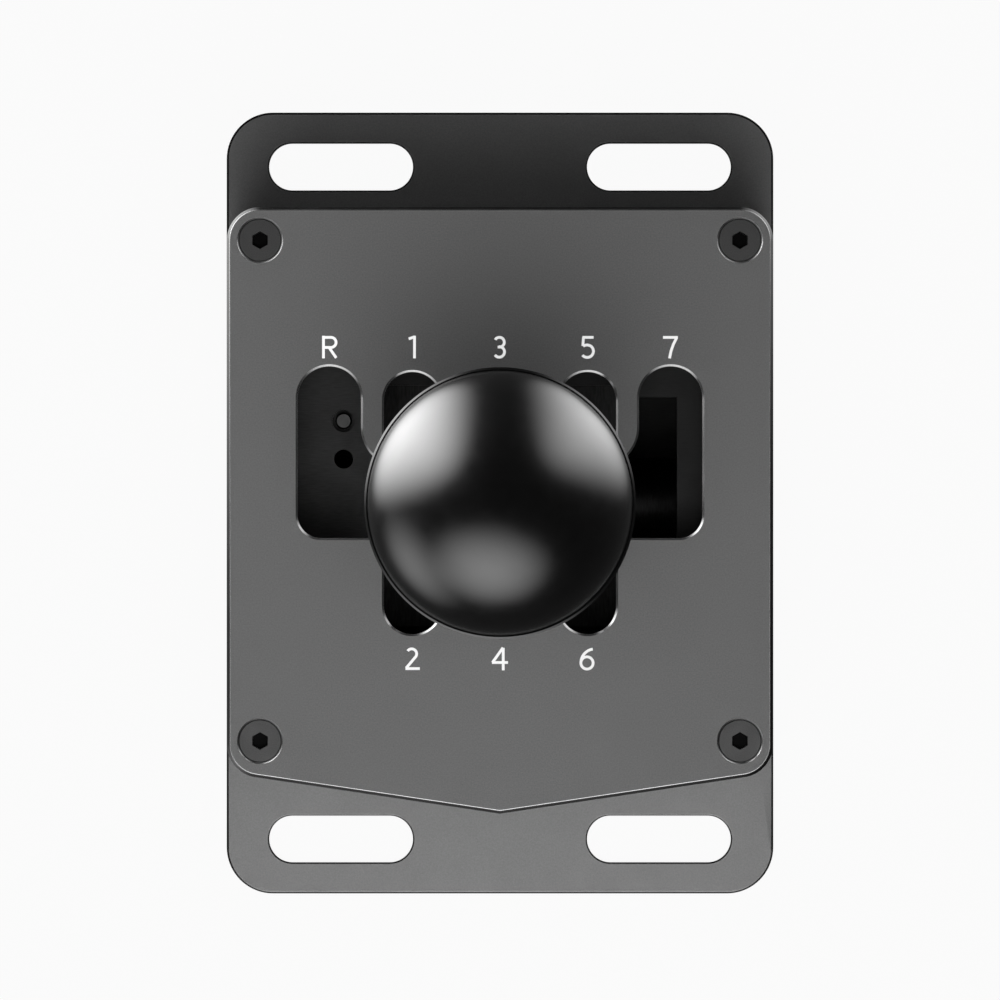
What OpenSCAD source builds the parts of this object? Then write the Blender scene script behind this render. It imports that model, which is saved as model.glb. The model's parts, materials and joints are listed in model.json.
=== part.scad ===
// Gated gear shifter for a driving simulator, in millimetres.
// +X is the driver's right, +Y points away from the driver and +Z is up.
// The origin is the middle of the base plate's underside, straight below the lever in neutral.
// The lever stands in a gimbal: it turns about a cross axle to shift, and about a long axis to select.

/* [Base plate] */
// Width of the base plate
base_w = 98; // [96:0.5:110]
// Length of the base plate
base_d = 140; // [136:1:170]
// Thickness of the base plate
base_t = 5; // [4:0.5:6]
// Corner radius of the base plate
base_corner_r = 8.3; // [2:0.1:12]
// Width of a mounting slot, a free fit for an M8 bolt
mount_slot_w = 8.4; // [6.4:0.1:9]
// End-to-end length of a mounting slot
mount_slot_l = 25.8; // [12:0.1:28]
// Distance between the slots' middles across the plate
mount_pitch_x = 57; // [40:0.5:62]
// Distance from the slots' middles to the ends of the plate
mount_edge = 9.75; // [8:0.25:10.5]

/* [Housing] */
// How far the base plate stands out beyond the housing's long sides
side_ledge = 0.65; // [0:0.05:2]
// Distance from the origin to the rear wall's outer face
housing_rear = 52.4; // [52:0.1:55]
// Distance from the origin to the tip of the pointed front wall
housing_front = 55; // [54.5:0.1:57]
// Angle by which each half of the front wall falls back, in degrees
front_angle = 8.5; // [4:0.5:10]
// Radius of the housing's four corners
housing_corner_r = 5.9; // [5:0.1:7]
// Thickness of the housing's wall
housing_wall = 3.5; // [2.5:0.5:4]
// Radius of the screw posts in the corners
post_r = 5.5; // [4:0.5:5.8]

/* [Cover] */
// Thickness of the gate cover
cover_t = 4; // [3:0.5:4.5]
// How far the cover stays inside the housing's outline
cover_inset = 0.45; // [0.2:0.05:1]
// Distance from the origin to the front pair of cover screws
front_screw_y = 42.1; // [41:0.1:43]

/* [Gate] */
// Distance between neighbouring middle columns of the gate
column_pitch = 15.5; // [15:0.1:16]
// Distance from the middle column to the two outer columns
outer_column_x = 30.2; // [29.8:0.1:31.5]
// Width of a middle column
gate_slot_w = 10.1; // [9.6:0.1:11]
// Width of an outer column
outer_slot_w = 11.2; // [11:0.1:12.2]
// Distance from the middle of the gate to the end of a middle column
gate_reach = 23.2; // [22.8:0.1:25]
// Distance from the middle of the gate to the end of an outer column
outer_reach = 24.2; // [24:0.1:26]
// Half the width of the neutral channel
channel_half = 6.2; // [5.5:0.1:7]
// Corner radius at the channel's two ends
channel_corner_r = 4.1; // [1:0.1:5]
// Radius that leads the lever from the channel into an outer column
guide_r = 7.2; // [3:0.1:8]

/* [Lever] */
// Diameter of the lever
lever_d = 8; // [7:0.5:8]
// Height of the knob's middle above the cover
knob_rise = 82; // [60:1:110]
// Diameter of the knob
knob_d = 47.6; // [40:0.2:56]
// Angle from neutral to a gear, in degrees
shift_angle = 14; // [10:0.5:14]
// How far the lever is pressed down to pass the reverse lock-out
press_travel = 5; // [4:0.5:5.5]
// Radius of the lock-out collar
collar_r = 9; // [8.5:0.1:9.5]
// Thickness of the lock-out collar
collar_t = 4; // [3:0.5:4.5]

/* [Gimbal] */
// Height of the lever's pivot above the mounting surface
pivot_z = 32; // [31.5:0.5:36]
// Height of the middle of the cover above the pivot
gate_h = 70; // [69:0.5:74]
// Diameter of the two select shafts, which run along Y
select_shaft_d = 10; // [8:0.5:10]
// Diameter of the shift axle, which runs along X
axle_d = 8; // [6:0.5:8]
// Radial clearance of every running fit
run_gap = 0.05; // [0.02:0.01:0.08]
// Half the width of the gimbal frame's window
window_x = 18; // [17.5:0.5:19]
// Half the length of the gimbal frame's window
window_y = 16; // [14:0.5:17]
// Thickness of the gimbal frame's side walls
frame_side_t = 5; // [4:0.5:5]
// Thickness of the gimbal frame's end walls
frame_end_t = 6; // [5:0.5:6]
// Half the height of the gimbal frame
frame_half_h = 8; // [7:0.5:8]
// Distance from the middle to the end of an axle boss
boss_reach = 31.4; // [30:0.1:32]
// Thickness of a bearing block
block_t = 10; // [8:0.5:10]
// Distance from the pivot to the inner face of the front bearing block
front_block_y = 36; // [35:0.5:36]
// Distance from the pivot to the inner face of the rear bearing block
rear_block_y = 30; // [26:0.5:30]
// Wall of the plain bearings
bush_wall = 2; // [1.5:0.1:2.5]

/* [Detent] */
// Radius of the detent arc on the lever carrier
detent_r = 14; // [13:0.1:14]
// Diameter of the detent pin
detent_pin_d = 4; // [3:0.5:4]
// How far the detent pin enters a notch
detent_travel = 1.2; // [0.8:0.1:1.2]

/* [Reverse rocker] */
// Thickness of the rocker
rocker_t = 8; // [6:0.5:8]
// Length of each arm of the rocker
rocker_arm = 27; // [25:0.5:29]
// Distance from the pivot to the stop pin that takes the rocker along
stop_pin_x = 14; // [13:0.5:15]
// Diameter of the stop pin
stop_pin_d = 5; // [4:0.5:5]

/* [Inner plates] */
// Height of the lock-out plate's underside above the pivot
lockout_h = 33; // [32.5:0.5:33.5]
// Distance from the middle to the lock-out plate's free edge
lockout_edge = 21.1; // [20.9:0.1:22.5]
// Thickness of the lock-out plate, of its bracket and of the upper frame
plate_t = 3; // [2:0.5:3]
// Height of the upper frame's underside above the pivot
upper_h = 47; // [46:0.5:49]
// Distance from the middle to the upper frame's edge on the right
upper_edge_x = 31.4; // [31:0.1:34]
// Distance from the middle to the upper frame's edge at the rear
upper_edge_y = 20.9; // [20.5:0.1:23]
// Diameter of the pillars that carry the upper frame
pillar_d = 8; // [7:0.5:9]

/* [Springs] */
// Wire of the two centring springs
centring_wire = 0.9; // [0.6:0.1:1.2]
// Turns of the two centring springs
centring_turns = 6; // [4:1:8]
// Wire of the reverse spring
reverse_wire = 1.2; // [0.8:0.1:1.4]
// Turns of the reverse spring
reverse_turns = 6; // [4:1:7]
// Wire of the lever's return spring
return_wire = 1.2; // [0.8:0.1:1.4]
// Turns of the lever's return spring
return_turns = 3; // [2:1:4]

/* [Electronics] */
// Thickness of the circuit boards
board_t = 1.6; // [1:0.2:2]
// Outer width and height of the data socket
jack_w = 14; // [12:0.5:15]
// Depth of the data socket
jack_d = 16; // [14:0.5:17]
// Distance of the data socket from the middle
jack_x = 22; // [21.5:0.5:24]

/* [Hidden] */

$fn = 96;
// Overlap by which a cutter runs past the face it cuts
cut = 1;
// Free air between two faces that must not touch
air = 0.3;

// Heights
housing_top = pivot_z + gate_h - cover_t / 2;
cover_top = housing_top + cover_t;
knob_z = cover_top + knob_rise;

// Places of the mounting slots and the screw posts
mount_pitch_y = base_d - 2 * mount_edge;
housing_w = base_w - 2 * side_ledge;
post_x = housing_w / 2 - housing_corner_r;
rear_post_y = housing_rear - housing_corner_r;
front_post_y = -front_screw_y;
POSTS = [[-post_x, rear_post_y], [post_x, rear_post_y], [-post_x, front_post_y], [post_x, front_post_y]];

// M4 screws: shank, hole, countersunk head and socket
m4_d = 4;
m4_free_d = 4.5;
m4_head_d = 7.5;
m4_sink_d = 7.9;
m4_socket = 2.5;
m4_socket_depth = 1.6;
m4_cap_d = 7;
m4_cap_h = 2.6;
thread_gap = 0.1;
head_recess = 0.2;
// M3 and smaller screws
m3_d = 3;
m3_cap_d = 5.5;
m3_cap_h = 2;
m25_d = 2.5;
m25_cap_d = 4.5;
m25_cap_h = 1.6;
// Lengths of the screws
cover_screw_l = 12;
base_screw_l = 14;
block_screw_l = 12;
board_screw_l = 4.6;
spacer_thread_l = 5;
// How much shorter a pin or set screw is than its seat
pin_recess = 0.5;

// Select side of the gimbal
select_r = select_shaft_d / 2;
select_bush_r = select_r + run_gap + bush_wall;
bush_flange_t = 1.5;
bush_flange_w = 2;
bush_flange_r = select_bush_r + bush_flange_w;
block_wall = 5;
block_r = select_bush_r + block_wall;
block_screw_x = 8;
block_screw_y = block_t / 2;
frame_x = window_x + frame_side_t;
frame_y = window_y + frame_end_t;
shaft_overhang = 0.5;
select_magnet_t = 2.5;
magnet_d = 6;
sensor_gap = 0.6;
sensor_chip_t = 1;
sensor_y = rear_block_y + block_t + shaft_overhang + select_magnet_t + sensor_gap + sensor_chip_t;
sensor_w = 26;
sensor_h = 14;
sensor_chip_w = 4;
sensor_chip_h = 5;
spacer_d = 4.5;
spacer_x = select_bush_r + block_wall / 2;

// Shift side of the gimbal
axle_r = axle_d / 2;
boss_wall = 2;
boss_bore_r = axle_r + run_gap + bush_wall;
boss_r = boss_bore_r + boss_wall;
bush_l = 11;
shift_magnet_t = 2.2;
axle_left = boss_reach - shift_magnet_t - sensor_gap;
axle_right = window_x + bush_l;
hub_play = 0.4;
hub_half = window_x - hub_play;
hub_wall = 4;
hub_r = axle_r + hub_wall;
set_screw_inset = 5;
frame_corner_r = 4;
window_corner_r = 3;
stop_pin_seat = 4;

// Bridge under the gimbal frame that holds the detent
bridge_gap = 0.6;
bridge_top = detent_r + bridge_gap;
bridge_t = 4.4;
bridge_half_w = 7;
leg_half_w = 3;
leg_in = window_x - leg_half_w;
leg_out = window_x + leg_half_w;
leg_root = 1.5;
barrel_wall = 2.5;
barrel_r = detent_pin_d / 2 + barrel_wall;
barrel_boss_r = barrel_r + boss_wall;
barrel_l = 10.4;
barrel_bottom = bridge_top + barrel_l;
barrel_floor = 1;

// Detent pin and its notches
detent_gap = 0.25;
pin_tip_r = detent_pin_d / 2;
pin_centre = detent_r + detent_gap + pin_tip_r;
pin_l = 3.2;
notch_play = 0.2;
notch_r = pin_tip_r + notch_play;
notch_centre = pin_centre - detent_travel;
arc_half_angle = 2 * shift_angle;
arc_half_t = 4;
detent_wire = 0.6;
detent_turns = 3.5;
detent_spring_r = 1.5;

// Lever, in heights above the pivot
tube_wall = 4;
tube_r = lever_d / 2 + tube_wall;
tube_top = 26;
bush_seat_l = 7;
bore_floor = 2.5;
bore_bottom = axle_r + bore_floor;
lever_bottom = bore_bottom + press_travel + pin_recess;
lever_bush_r = lever_d / 2 + run_gap + bush_wall;
lever_flange_t = 1.5;
guide_pin_d = 3;
guide_pin_inset = 4.8;
guide_pin_h = lever_bottom + guide_pin_inset;
guide_slot_play = 0.2;
collar_rise = 5;
collar_h = lockout_h + collar_rise;

// Knob, in heights above its middle
knob_r = knob_d / 2;
knob_rim_w = 0.45;
knob_seam = 0.1;
knob_rim_h = 1.2;
knob_wall = 2.4;
knob_flat = 21;
neck_r = 9;
neck_h = 3;
insert_r = 6.5;
insert_top = 2;
insert_inset = 1;
insert_wall = 3;
nut_af = 13;
nut_h = 5;
dome_r = knob_r - knob_rim_w - knob_seam;

// Reverse rocker
rocker_front_gap = 1;
rocker_y = frame_y + rocker_front_gap;
rocker_hub_wall = 4;
rocker_hub_r = select_r + rocker_hub_wall;
rocker_arm_t = 5;
select_angle = atan(column_pitch / gate_h);
outer_angle = atan(outer_column_x / gate_h);
// Depth of the arm's top below the pivot: the stop pin lands on it in the column next to reverse
stop_pin_gap = 0.15;
rocker_drop = stop_pin_x * sin(select_angle) + stop_pin_d / 2 + stop_pin_gap;
rocker_spring_x = rocker_arm - 5;
rocker_stop_x = rocker_arm - 3;
rocker_stop_d = 6;
rocker_rest_gap = 0.1;

// Seats of the springs in the base plate
pocket_depth = 1;
centring_spring_x = window_x + frame_side_t / 2;
centring_spring_inset = 8;
centring_spring_y = frame_y - centring_spring_inset;
centring_r = 3.2;
reverse_r = 3.4;
return_play = 0.8;
return_r = lever_d / 2 + return_play + return_wire / 2;

// Inner plates
wall_gap = 1.5;
inner_x = housing_w / 2 - housing_wall - wall_gap;
bracket_foot_w = 12;
bracket_front = -24;
bracket_rear = 26;
bracket_flange_gap = 2.7;
bracket_screw_x = inner_x - bracket_foot_w / 2;
bracket_screw_inset = 8;
lockout_screw_x = inner_x - 4;
lockout_screw_inset = 6;
locating_hole = [-27.8, 14.6];
locating_hole_d = 4;
locating_pin_d = 2.9;
spare_hole = [-27.8, 7.8];
spare_hole_d = 3.4;
upper_front = -26;
upper_rear = rear_post_y - post_r - 1.6;
upper_left = 4 - inner_x;
upper_step = [23.8, 2.1];
upper_left_edge = [-22, 27];
pillar_inset = 4.3;
PILLARS = [[inner_x - pillar_inset, upper_front + pillar_inset],
    [inner_x - pillar_inset, upper_rear - pillar_inset],
    [upper_left + pillar_inset, upper_rear - pillar_inset]];

// Electronics
jack_y = housing_rear - 0.1;
standoff_h = 4;
standoff_d = 5;
board_z = base_t + standoff_h;
board_half_w = 8;
board_left = jack_x - board_half_w;
board_right = jack_x + board_half_w;
board_front = rear_block_y - 5;
board_rear = housing_rear - housing_wall - 1;
board_hole = 2.5;
BOARD_HOLES = [[board_left + board_hole, board_front + board_hole],
    [board_right - board_hole, board_front + board_hole]];
plug_w = 11;
plug_h = 9;
plug_d = 12;

// Colours
anodised = "dimgray";
dark_metal = "#2c2c2e";
steel = "silver";
spring_steel = "lightslategray";
bronze = "darkgoldenrod";
brass = "goldenrod";
board_green = "darkgreen";
black_plastic = "#1a1a1a";

// A rectangle with true round corners
module rounded_rect(w, d, r) {
    square([w - 2 * r, d], center = true);
    square([w, d - 2 * r], center = true);
    for (x = [-1, 1], y = [-1, 1])
        translate([x * (w / 2 - r), y * (d / 2 - r)])
            circle(r);
}

// The housing's outline with its pointed front, drawn in by an inset
module body_outline(inset) {
    r = housing_corner_r - inset;
    front_y = -housing_front + tan(front_angle) * post_x + housing_corner_r / cos(front_angle);
    tip_y = -housing_front + inset / cos(front_angle);
    side = post_x + r;
    slant_x = post_x + r * sin(front_angle);
    slant_y = front_y - r * cos(front_angle);
    polygon([[side, front_y], [side, rear_post_y], [post_x, rear_post_y + r],
        [-post_x, rear_post_y + r], [-side, rear_post_y], [-side, front_y],
        [-slant_x, slant_y], [0, tip_y], [slant_x, slant_y]]);
    for (x = [-post_x, post_x], y = [rear_post_y, front_y])
        translate([x, y])
            circle(r);
}

// A slot with round ends that runs along Y from one reach to the other
module long_slot(w, low, high) {
    translate([-w / 2, low + w / 2])
        square([w, high - low - w]);
    for (y = [low + w / 2, high - w / 2])
        translate([0, y])
            circle(w / 2);
}

// The whole gate: three long columns, the neutral channel and two outer columns
module gate_outline() {
    outer_edge = outer_column_x + outer_slot_w / 2;
    inner_edge = outer_column_x - outer_slot_w / 2;
    for (c = [-1:1])
        translate([c * column_pitch, 0])
            long_slot(gate_slot_w, -gate_reach, gate_reach);
    square([2 * (outer_edge - channel_corner_r), 2 * channel_half], center = true);
    for (s = [-1, 1]) {
        translate([s * outer_column_x, outer_reach - outer_slot_w / 2])
            circle(outer_slot_w / 2);
        translate([s * outer_column_x - outer_slot_w / 2, channel_corner_r - channel_half])
            square([outer_slot_w, outer_reach - outer_slot_w / 2 + channel_half - channel_corner_r]);
        translate([s * (outer_edge - channel_corner_r), channel_corner_r - channel_half])
            circle(channel_corner_r);
        // Rounded end of the wall between an outer column and its neighbour
        difference() {
            translate([s > 0 ? inner_edge - guide_r : -inner_edge, channel_half - cut])
                square([guide_r, guide_r + cut]);
            translate([s * (inner_edge - guide_r), channel_half + guide_r])
                circle(guide_r);
        }
    }
}

// A cylinder about Z between two heights
module post(r, low, high) {
    translate([0, 0, low])
        cylinder(r = r, h = high - low);
}

// A cylinder along X between two places
module rod_x(r, low, high) {
    translate([low, 0, 0])
        rotate([0, 90, 0])
            cylinder(r = r, h = high - low);
}

// A cylinder along Y between two places
module rod_y(r, low, high) {
    translate([0, low, 0])
        rotate([-90, 0, 0])
            cylinder(r = r, h = high - low);
}

// A countersunk screw with its head's face at z = 0 and its shank below
module countersunk_screw(length) {
    head_h = (m4_head_d - m4_d) / 2;
    difference() {
        union() {
            translate([0, 0, -head_h])
                cylinder(r1 = m4_d / 2, r2 = m4_head_d / 2, h = head_h);
            post(m4_d / 2, -length, -head_h);
        }
        translate([0, 0, -m4_socket_depth])
            rotate(30)
                cylinder(r = m4_socket / sqrt(3), h = m4_socket_depth + cut, $fn = 6);
    }
}

// The hole that a countersunk screw sinks into, from z = 0 down
module countersunk_hole(length) {
    sink_h = (m4_sink_d - m4_free_d) / 2;
    translate([0, 0, -sink_h])
        cylinder(r1 = m4_free_d / 2, r2 = m4_sink_d / 2, h = sink_h);
    post(m4_sink_d / 2, 0, cut);
    post(m4_free_d / 2, -length, -sink_h + 0.01);
}

// A round-headed screw that clamps at z = 0
module cap_screw(d, head_d, head_h, length) {
    difference() {
        union() {
            post(head_d / 2, 0, head_h);
            post(d / 2, -length, 0);
        }
        translate([0, 0, head_h / 2])
            cylinder(r = d / 3.4, h = head_h, $fn = 6);
    }
}

// Middle of the wire of a coil spring, a fraction of the way up
function coil_point(r, wire, height, turns, t) =
    [r * cos(360 * turns * t), r * sin(360 * turns * t), wire / 2 + (height - wire) * t];

// One ring of points around the wire
function coil_ring(r, wire, height, turns, t, sides) =
    let (
        angle = 360 * turns * t,
        middle = coil_point(r, wire, height, turns, t),
        outward = [cos(angle), sin(angle), 0],
        rise = (height - wire) / (turns * 2 * PI * r),
        along = [-sin(angle), cos(angle), rise] / sqrt(1 + rise * rise),
        upward = cross(outward, along))
    [for (k = [0:sides - 1])
        middle + wire / 2 * (cos(360 * k / sides) * outward + sin(360 * k / sides) * upward)];

// Least distance between two places on the wire that lie at least half a turn apart
function coil_gap(r, wire, height, turns) =
    let (n = ceil(turns * 24))
    min([for (i = [0:n], j = [i + 12:1:n])
        norm(coil_point(r, wire, height, turns, i / n) - coil_point(r, wire, height, turns, j / n))]) - wire;

// An unbroken coil spring that stands on z = 0
module coil_spring(label, r, wire, height, turns) {
    sides = 6;
    rings = ceil(turns * 8);
    points = [for (i = [0:rings]) each coil_ring(r, wire, height, turns, i / rings, sides)];
    walls = [for (i = [0:rings - 1], k = [0:sides - 1])
        let (a = i * sides + k, b = i * sides + (k + 1) % sides)
        each [[a, b, b + sides], [a, b + sides, a + sides]]];
    last = rings * sides;
    ends = [for (k = [1:sides - 2]) each [[0, k + 1, k], [last, last + k, last + k + 1]]];
    echo(label, least_gap = coil_gap(r, wire, height, turns));
    polyhedron(points, concat(walls, ends));
}

module base_plate() {
    color(anodised)
    difference() {
        linear_extrude(base_t)
            difference() {
                rounded_rect(base_w, base_d, base_corner_r);
                for (x = [-1, 1], y = [-1, 1])
                    translate([x * mount_pitch_x / 2, y * mount_pitch_y / 2])
                        rotate(90)
                            long_slot(mount_slot_w, -mount_slot_l / 2, mount_slot_l / 2);
            }
        for (p = concat(POSTS, PILLARS, block_screw_places(), bracket_screw_places()))
            translate([p[0], p[1], 0])
                mirror([0, 0, 1])
                    countersunk_hole(base_t + cut);
        for (s = [-1, 1])
            translate([s * centring_spring_x, centring_spring_y, 0])
                post(centring_r + centring_wire / 2 + air, base_t - pocket_depth, base_t + cut);
        translate([-rocker_spring_x, -rocker_y - rocker_t / 2, 0])
            post(reverse_r + reverse_wire / 2 + air, base_t - pocket_depth, base_t + cut);
    }
}

module housing() {
    color(anodised)
    difference() {
        translate([0, 0, base_t])
            linear_extrude(housing_top - base_t)
                difference() {
                    body_outline(0);
                    difference() {
                        body_outline(housing_wall);
                        for (p = POSTS)
                            translate(p)
                                circle(post_r);
                    }
                }
        for (p = POSTS)
            translate([p[0], p[1], 0]) {
                post(m4_d / 2 + thread_gap, base_t - cut, base_t + base_screw_l);
                post(m4_d / 2 + thread_gap, housing_top - cover_screw_l, housing_top + cut);
            }
        // Window for the data socket
        translate([jack_x - jack_w / 2 - air, housing_rear - housing_wall - cut, board_z + board_t - air])
            cube([jack_w + 2 * air, housing_wall + 2 * cut, jack_w + 2 * air]);
    }
}

module top_cover() {
    color(anodised)
    difference() {
        translate([0, 0, housing_top])
            linear_extrude(cover_t)
                difference() {
                    body_outline(cover_inset);
                    gate_outline();
                }
        for (p = POSTS)
            translate([p[0], p[1], cover_top])
                countersunk_hole(cover_t + cut);
    }
}

module cover_screws() {
    color(steel)
    for (p = POSTS)
        translate([p[0], p[1], cover_top - head_recess])
            countersunk_screw(cover_screw_l);
}

module base_screws() {
    color(steel)
    for (p = POSTS)
        translate([p[0], p[1], head_recess])
            mirror([0, 0, 1])
                countersunk_screw(base_screw_l);
}

function block_screw_places() = [for (x = [-1, 1], y = [-front_block_y - block_screw_y,
    rear_block_y + block_screw_y]) [x * block_screw_x, y]];
function bracket_screw_places() = [for (y = [bracket_front + bracket_screw_inset,
    bracket_rear - bracket_screw_inset]) [-bracket_screw_x, y]];
function lockout_screw_places() = [bracket_front + lockout_screw_inset, bracket_rear - lockout_screw_inset];

// A block that stands on the base plate and holds one bush; its inner face is at y = 0
module bearing_block() {
    difference() {
        union() {
            translate([-block_r, 0, base_t])
                cube([2 * block_r, block_t, pivot_z - base_t]);
            translate([0, 0, pivot_z])
                rod_y(block_r, 0, block_t);
        }
        translate([0, 0, pivot_z])
            rod_y(select_bush_r, -cut, block_t + cut);
        for (x = [-block_screw_x, block_screw_x])
            translate([x, block_t / 2, 0])
                post(m4_d / 2 + thread_gap, base_t - cut, base_t + block_screw_l);
    }
}

module front_bearing_block() {
    color(dark_metal)
    translate([0, -front_block_y - block_t, 0])
        bearing_block();
}

module rear_bearing_block() {
    color(dark_metal)
    difference() {
        translate([0, rear_block_y, 0])
            bearing_block();
        for (x = [-spacer_x, spacer_x])
            translate([x, 0, pivot_z])
                rod_y(m25_d / 2 + thread_gap, rear_block_y + block_t - spacer_thread_l,
                    rear_block_y + block_t + cut);
    }
}

module block_screws() {
    color(steel)
    for (p = block_screw_places())
        translate([p[0], p[1], head_recess])
            mirror([0, 0, 1])
                countersunk_screw(block_screw_l);
}

// A flanged plain bearing about Y; its flange lies on the side of negative y
module flanged_bush() {
    difference() {
        union() {
            rod_y(select_bush_r, 0, block_t);
            rod_y(bush_flange_r, -bush_flange_t, 0);
        }
        rod_y(select_r + run_gap, -bush_flange_t - cut, block_t + cut);
    }
}

module select_bushes() {
    color(bronze)
    translate([0, 0, pivot_z]) {
        translate([0, rear_block_y, 0])
            flanged_bush();
        translate([0, -front_block_y, 0])
            mirror([0, 1, 0])
                flanged_bush();
    }
}

module upper_frame() {
    color(dark_metal)
    difference() {
        translate([0, 0, pivot_z + upper_h])
            linear_extrude(plate_t)
                polygon([[upper_left, upper_left_edge[1]], upper_left_edge,
                    [upper_left_edge[0], upper_edge_y], [upper_step[0], upper_edge_y],
                    [upper_step[0], upper_edge_y - upper_step[1]],
                    [upper_edge_x, upper_edge_y - upper_step[1]], [upper_edge_x, upper_front],
                    [inner_x, upper_front], [inner_x, upper_rear], [upper_left, upper_rear]]);
        for (p = PILLARS)
            translate([p[0], p[1], 0])
                post(m4_free_d / 2, pivot_z + upper_h - cut, pivot_z + upper_h + plate_t + cut);
    }
}

module frame_pillars() {
    color(steel)
    for (p = PILLARS)
        translate([p[0], p[1], 0])
            difference() {
                post(pillar_d / 2, base_t, pivot_z + upper_h);
                post(m4_d / 2 + thread_gap, base_t - cut, base_t + base_screw_l);
                post(m4_d / 2 + thread_gap, pivot_z + upper_h - base_screw_l, pivot_z + upper_h + cut);
            }
}

module pillar_screws() {
    color(steel)
    for (p = PILLARS)
        translate([p[0], p[1], head_recess])
            mirror([0, 0, 1])
                countersunk_screw(base_screw_l);
}

module frame_screws() {
    color(steel)
    for (p = PILLARS)
        translate([p[0], p[1], pivot_z + upper_h + plate_t])
            cap_screw(m4_d, m4_cap_d, m4_cap_h, base_screw_l);
}

module lockout_bracket() {
    depth = bracket_rear - bracket_front;
    top = pivot_z + lockout_h;
    color(dark_metal)
    difference() {
        union() {
            translate([-inner_x, bracket_front, base_t])
                cube([bracket_foot_w, depth, plate_t]);
            translate([-inner_x, bracket_front, base_t])
                cube([plate_t, depth, top - base_t]);
            translate([-inner_x, bracket_front, top - plate_t])
                cube([inner_x - lockout_edge - bracket_flange_gap, depth, plate_t]);
        }
        for (p = bracket_screw_places())
            translate([p[0], p[1], 0])
                post(m4_d / 2 + thread_gap, base_t - cut, base_t + plate_t + cut);
        for (y = lockout_screw_places())
            translate([-lockout_screw_x, y, 0])
                post(m3_d / 2 + thread_gap, top - plate_t - cut, top + cut);
        translate([locating_hole[0], locating_hole[1], 0])
            post(locating_pin_d / 2, top - plate_t - cut, top + cut);
        translate([spare_hole[0], spare_hole[1], 0])
            post(spare_hole_d / 2, top - plate_t - cut, top + cut);
    }
}

module lockout_plate() {
    low = pivot_z + lockout_h;
    color(dark_metal)
    difference() {
        translate([-inner_x, bracket_front, low])
            cube([inner_x - lockout_edge, bracket_rear - bracket_front, plate_t]);
        for (y = lockout_screw_places())
            translate([-lockout_screw_x, y, 0])
                post(m3_d / 2 + thread_gap, low - cut, low + plate_t + cut);
        translate([locating_hole[0], locating_hole[1], 0])
            post(locating_hole_d / 2, low - cut, low + plate_t + cut);
        translate([spare_hole[0], spare_hole[1], 0])
            post(spare_hole_d / 2, low - cut, low + plate_t + cut);
    }
}

module lockout_screws() {
    color(steel)
    for (y = lockout_screw_places())
        translate([-lockout_screw_x, y, pivot_z + lockout_h + plate_t])
            cap_screw(m3_d, m3_cap_d, m3_cap_h, 2 * plate_t);
}

module bracket_screws() {
    color(steel)
    for (p = bracket_screw_places())
        translate([p[0], p[1], head_recess])
            mirror([0, 0, 1])
                countersunk_screw(base_t + plate_t - head_recess);
}

module locating_pin() {
    color(steel)
    translate([locating_hole[0], locating_hole[1], pivot_z + lockout_h])
        post(locating_pin_d / 2, -plate_t, plate_t - pin_recess);
}

module main_board() {
    color(board_green)
    difference() {
        translate([board_left, board_front, board_z])
            cube([board_right - board_left, board_rear - board_front, board_t]);
        for (p = BOARD_HOLES)
            translate([p[0], p[1], 0])
                post(m25_d / 2 + thread_gap, board_z - cut, board_z + board_t + cut);
    }
}

module board_standoffs() {
    color(steel)
    for (p = concat(BOARD_HOLES, [[board_left + board_hole, board_rear - board_hole],
        [board_right - board_hole, board_rear - board_hole]]))
        translate([p[0], p[1], 0])
            difference() {
                post(standoff_d / 2, base_t, board_z);
                post(m25_d / 2 + thread_gap, base_t + pin_recess, board_z + cut);
            }
}

module board_screws() {
    color(steel)
    for (p = BOARD_HOLES)
        translate([p[0], p[1], board_z + board_t])
            cap_screw(m25_d, m25_cap_d, m25_cap_h, board_screw_l);
}

module data_jack() {
    low = board_z + board_t;
    color(black_plastic)
    difference() {
        translate([jack_x - jack_w / 2, jack_y - jack_d, low])
            cube([jack_w, jack_d, jack_w]);
        translate([jack_x - plug_w / 2, jack_y - plug_d, low + (jack_w - plug_h) / 2])
            cube([plug_w, plug_d + cut, plug_h]);
    }
}

module select_sensor_board() {
    color(board_green)
    difference() {
        union() {
            translate([-sensor_w / 2, sensor_y, pivot_z - sensor_h / 2])
                cube([sensor_w, board_t, sensor_h]);
            translate([-sensor_chip_w / 2, sensor_y - sensor_chip_t, pivot_z - sensor_chip_h / 2])
                cube([sensor_chip_w, sensor_chip_t, sensor_chip_h]);
        }
        for (x = [-spacer_x, spacer_x])
            translate([x, 0, pivot_z])
                rod_y(m25_d / 2 + thread_gap, sensor_y - cut, sensor_y + board_t + cut);
    }
}

module sensor_spacers() {
    color(steel)
    for (x = [-spacer_x, spacer_x])
        translate([x, 0, pivot_z])
            difference() {
                rod_y(spacer_d / 2, rear_block_y + block_t, sensor_y);
                rod_y(m25_d / 2 + thread_gap, rear_block_y + block_t - cut, sensor_y + cut);
            }
}

module sensor_screws() {
    color(steel)
    for (x = [-spacer_x, spacer_x])
        translate([x, sensor_y + board_t, pivot_z])
            rotate([-90, 0, 0])
                cap_screw(m25_d, m25_cap_d, m25_cap_h,
                    sensor_y + board_t - rear_block_y - block_t + spacer_thread_l - pin_recess);
}

module rocker_stop() {
    top = pivot_z - rocker_drop - rocker_arm_t - rocker_rest_gap;
    color(steel)
    translate([rocker_stop_x, -rocker_y - rocker_t / 2, 0])
        post(rocker_stop_d / 2, base_t, top);
}

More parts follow.
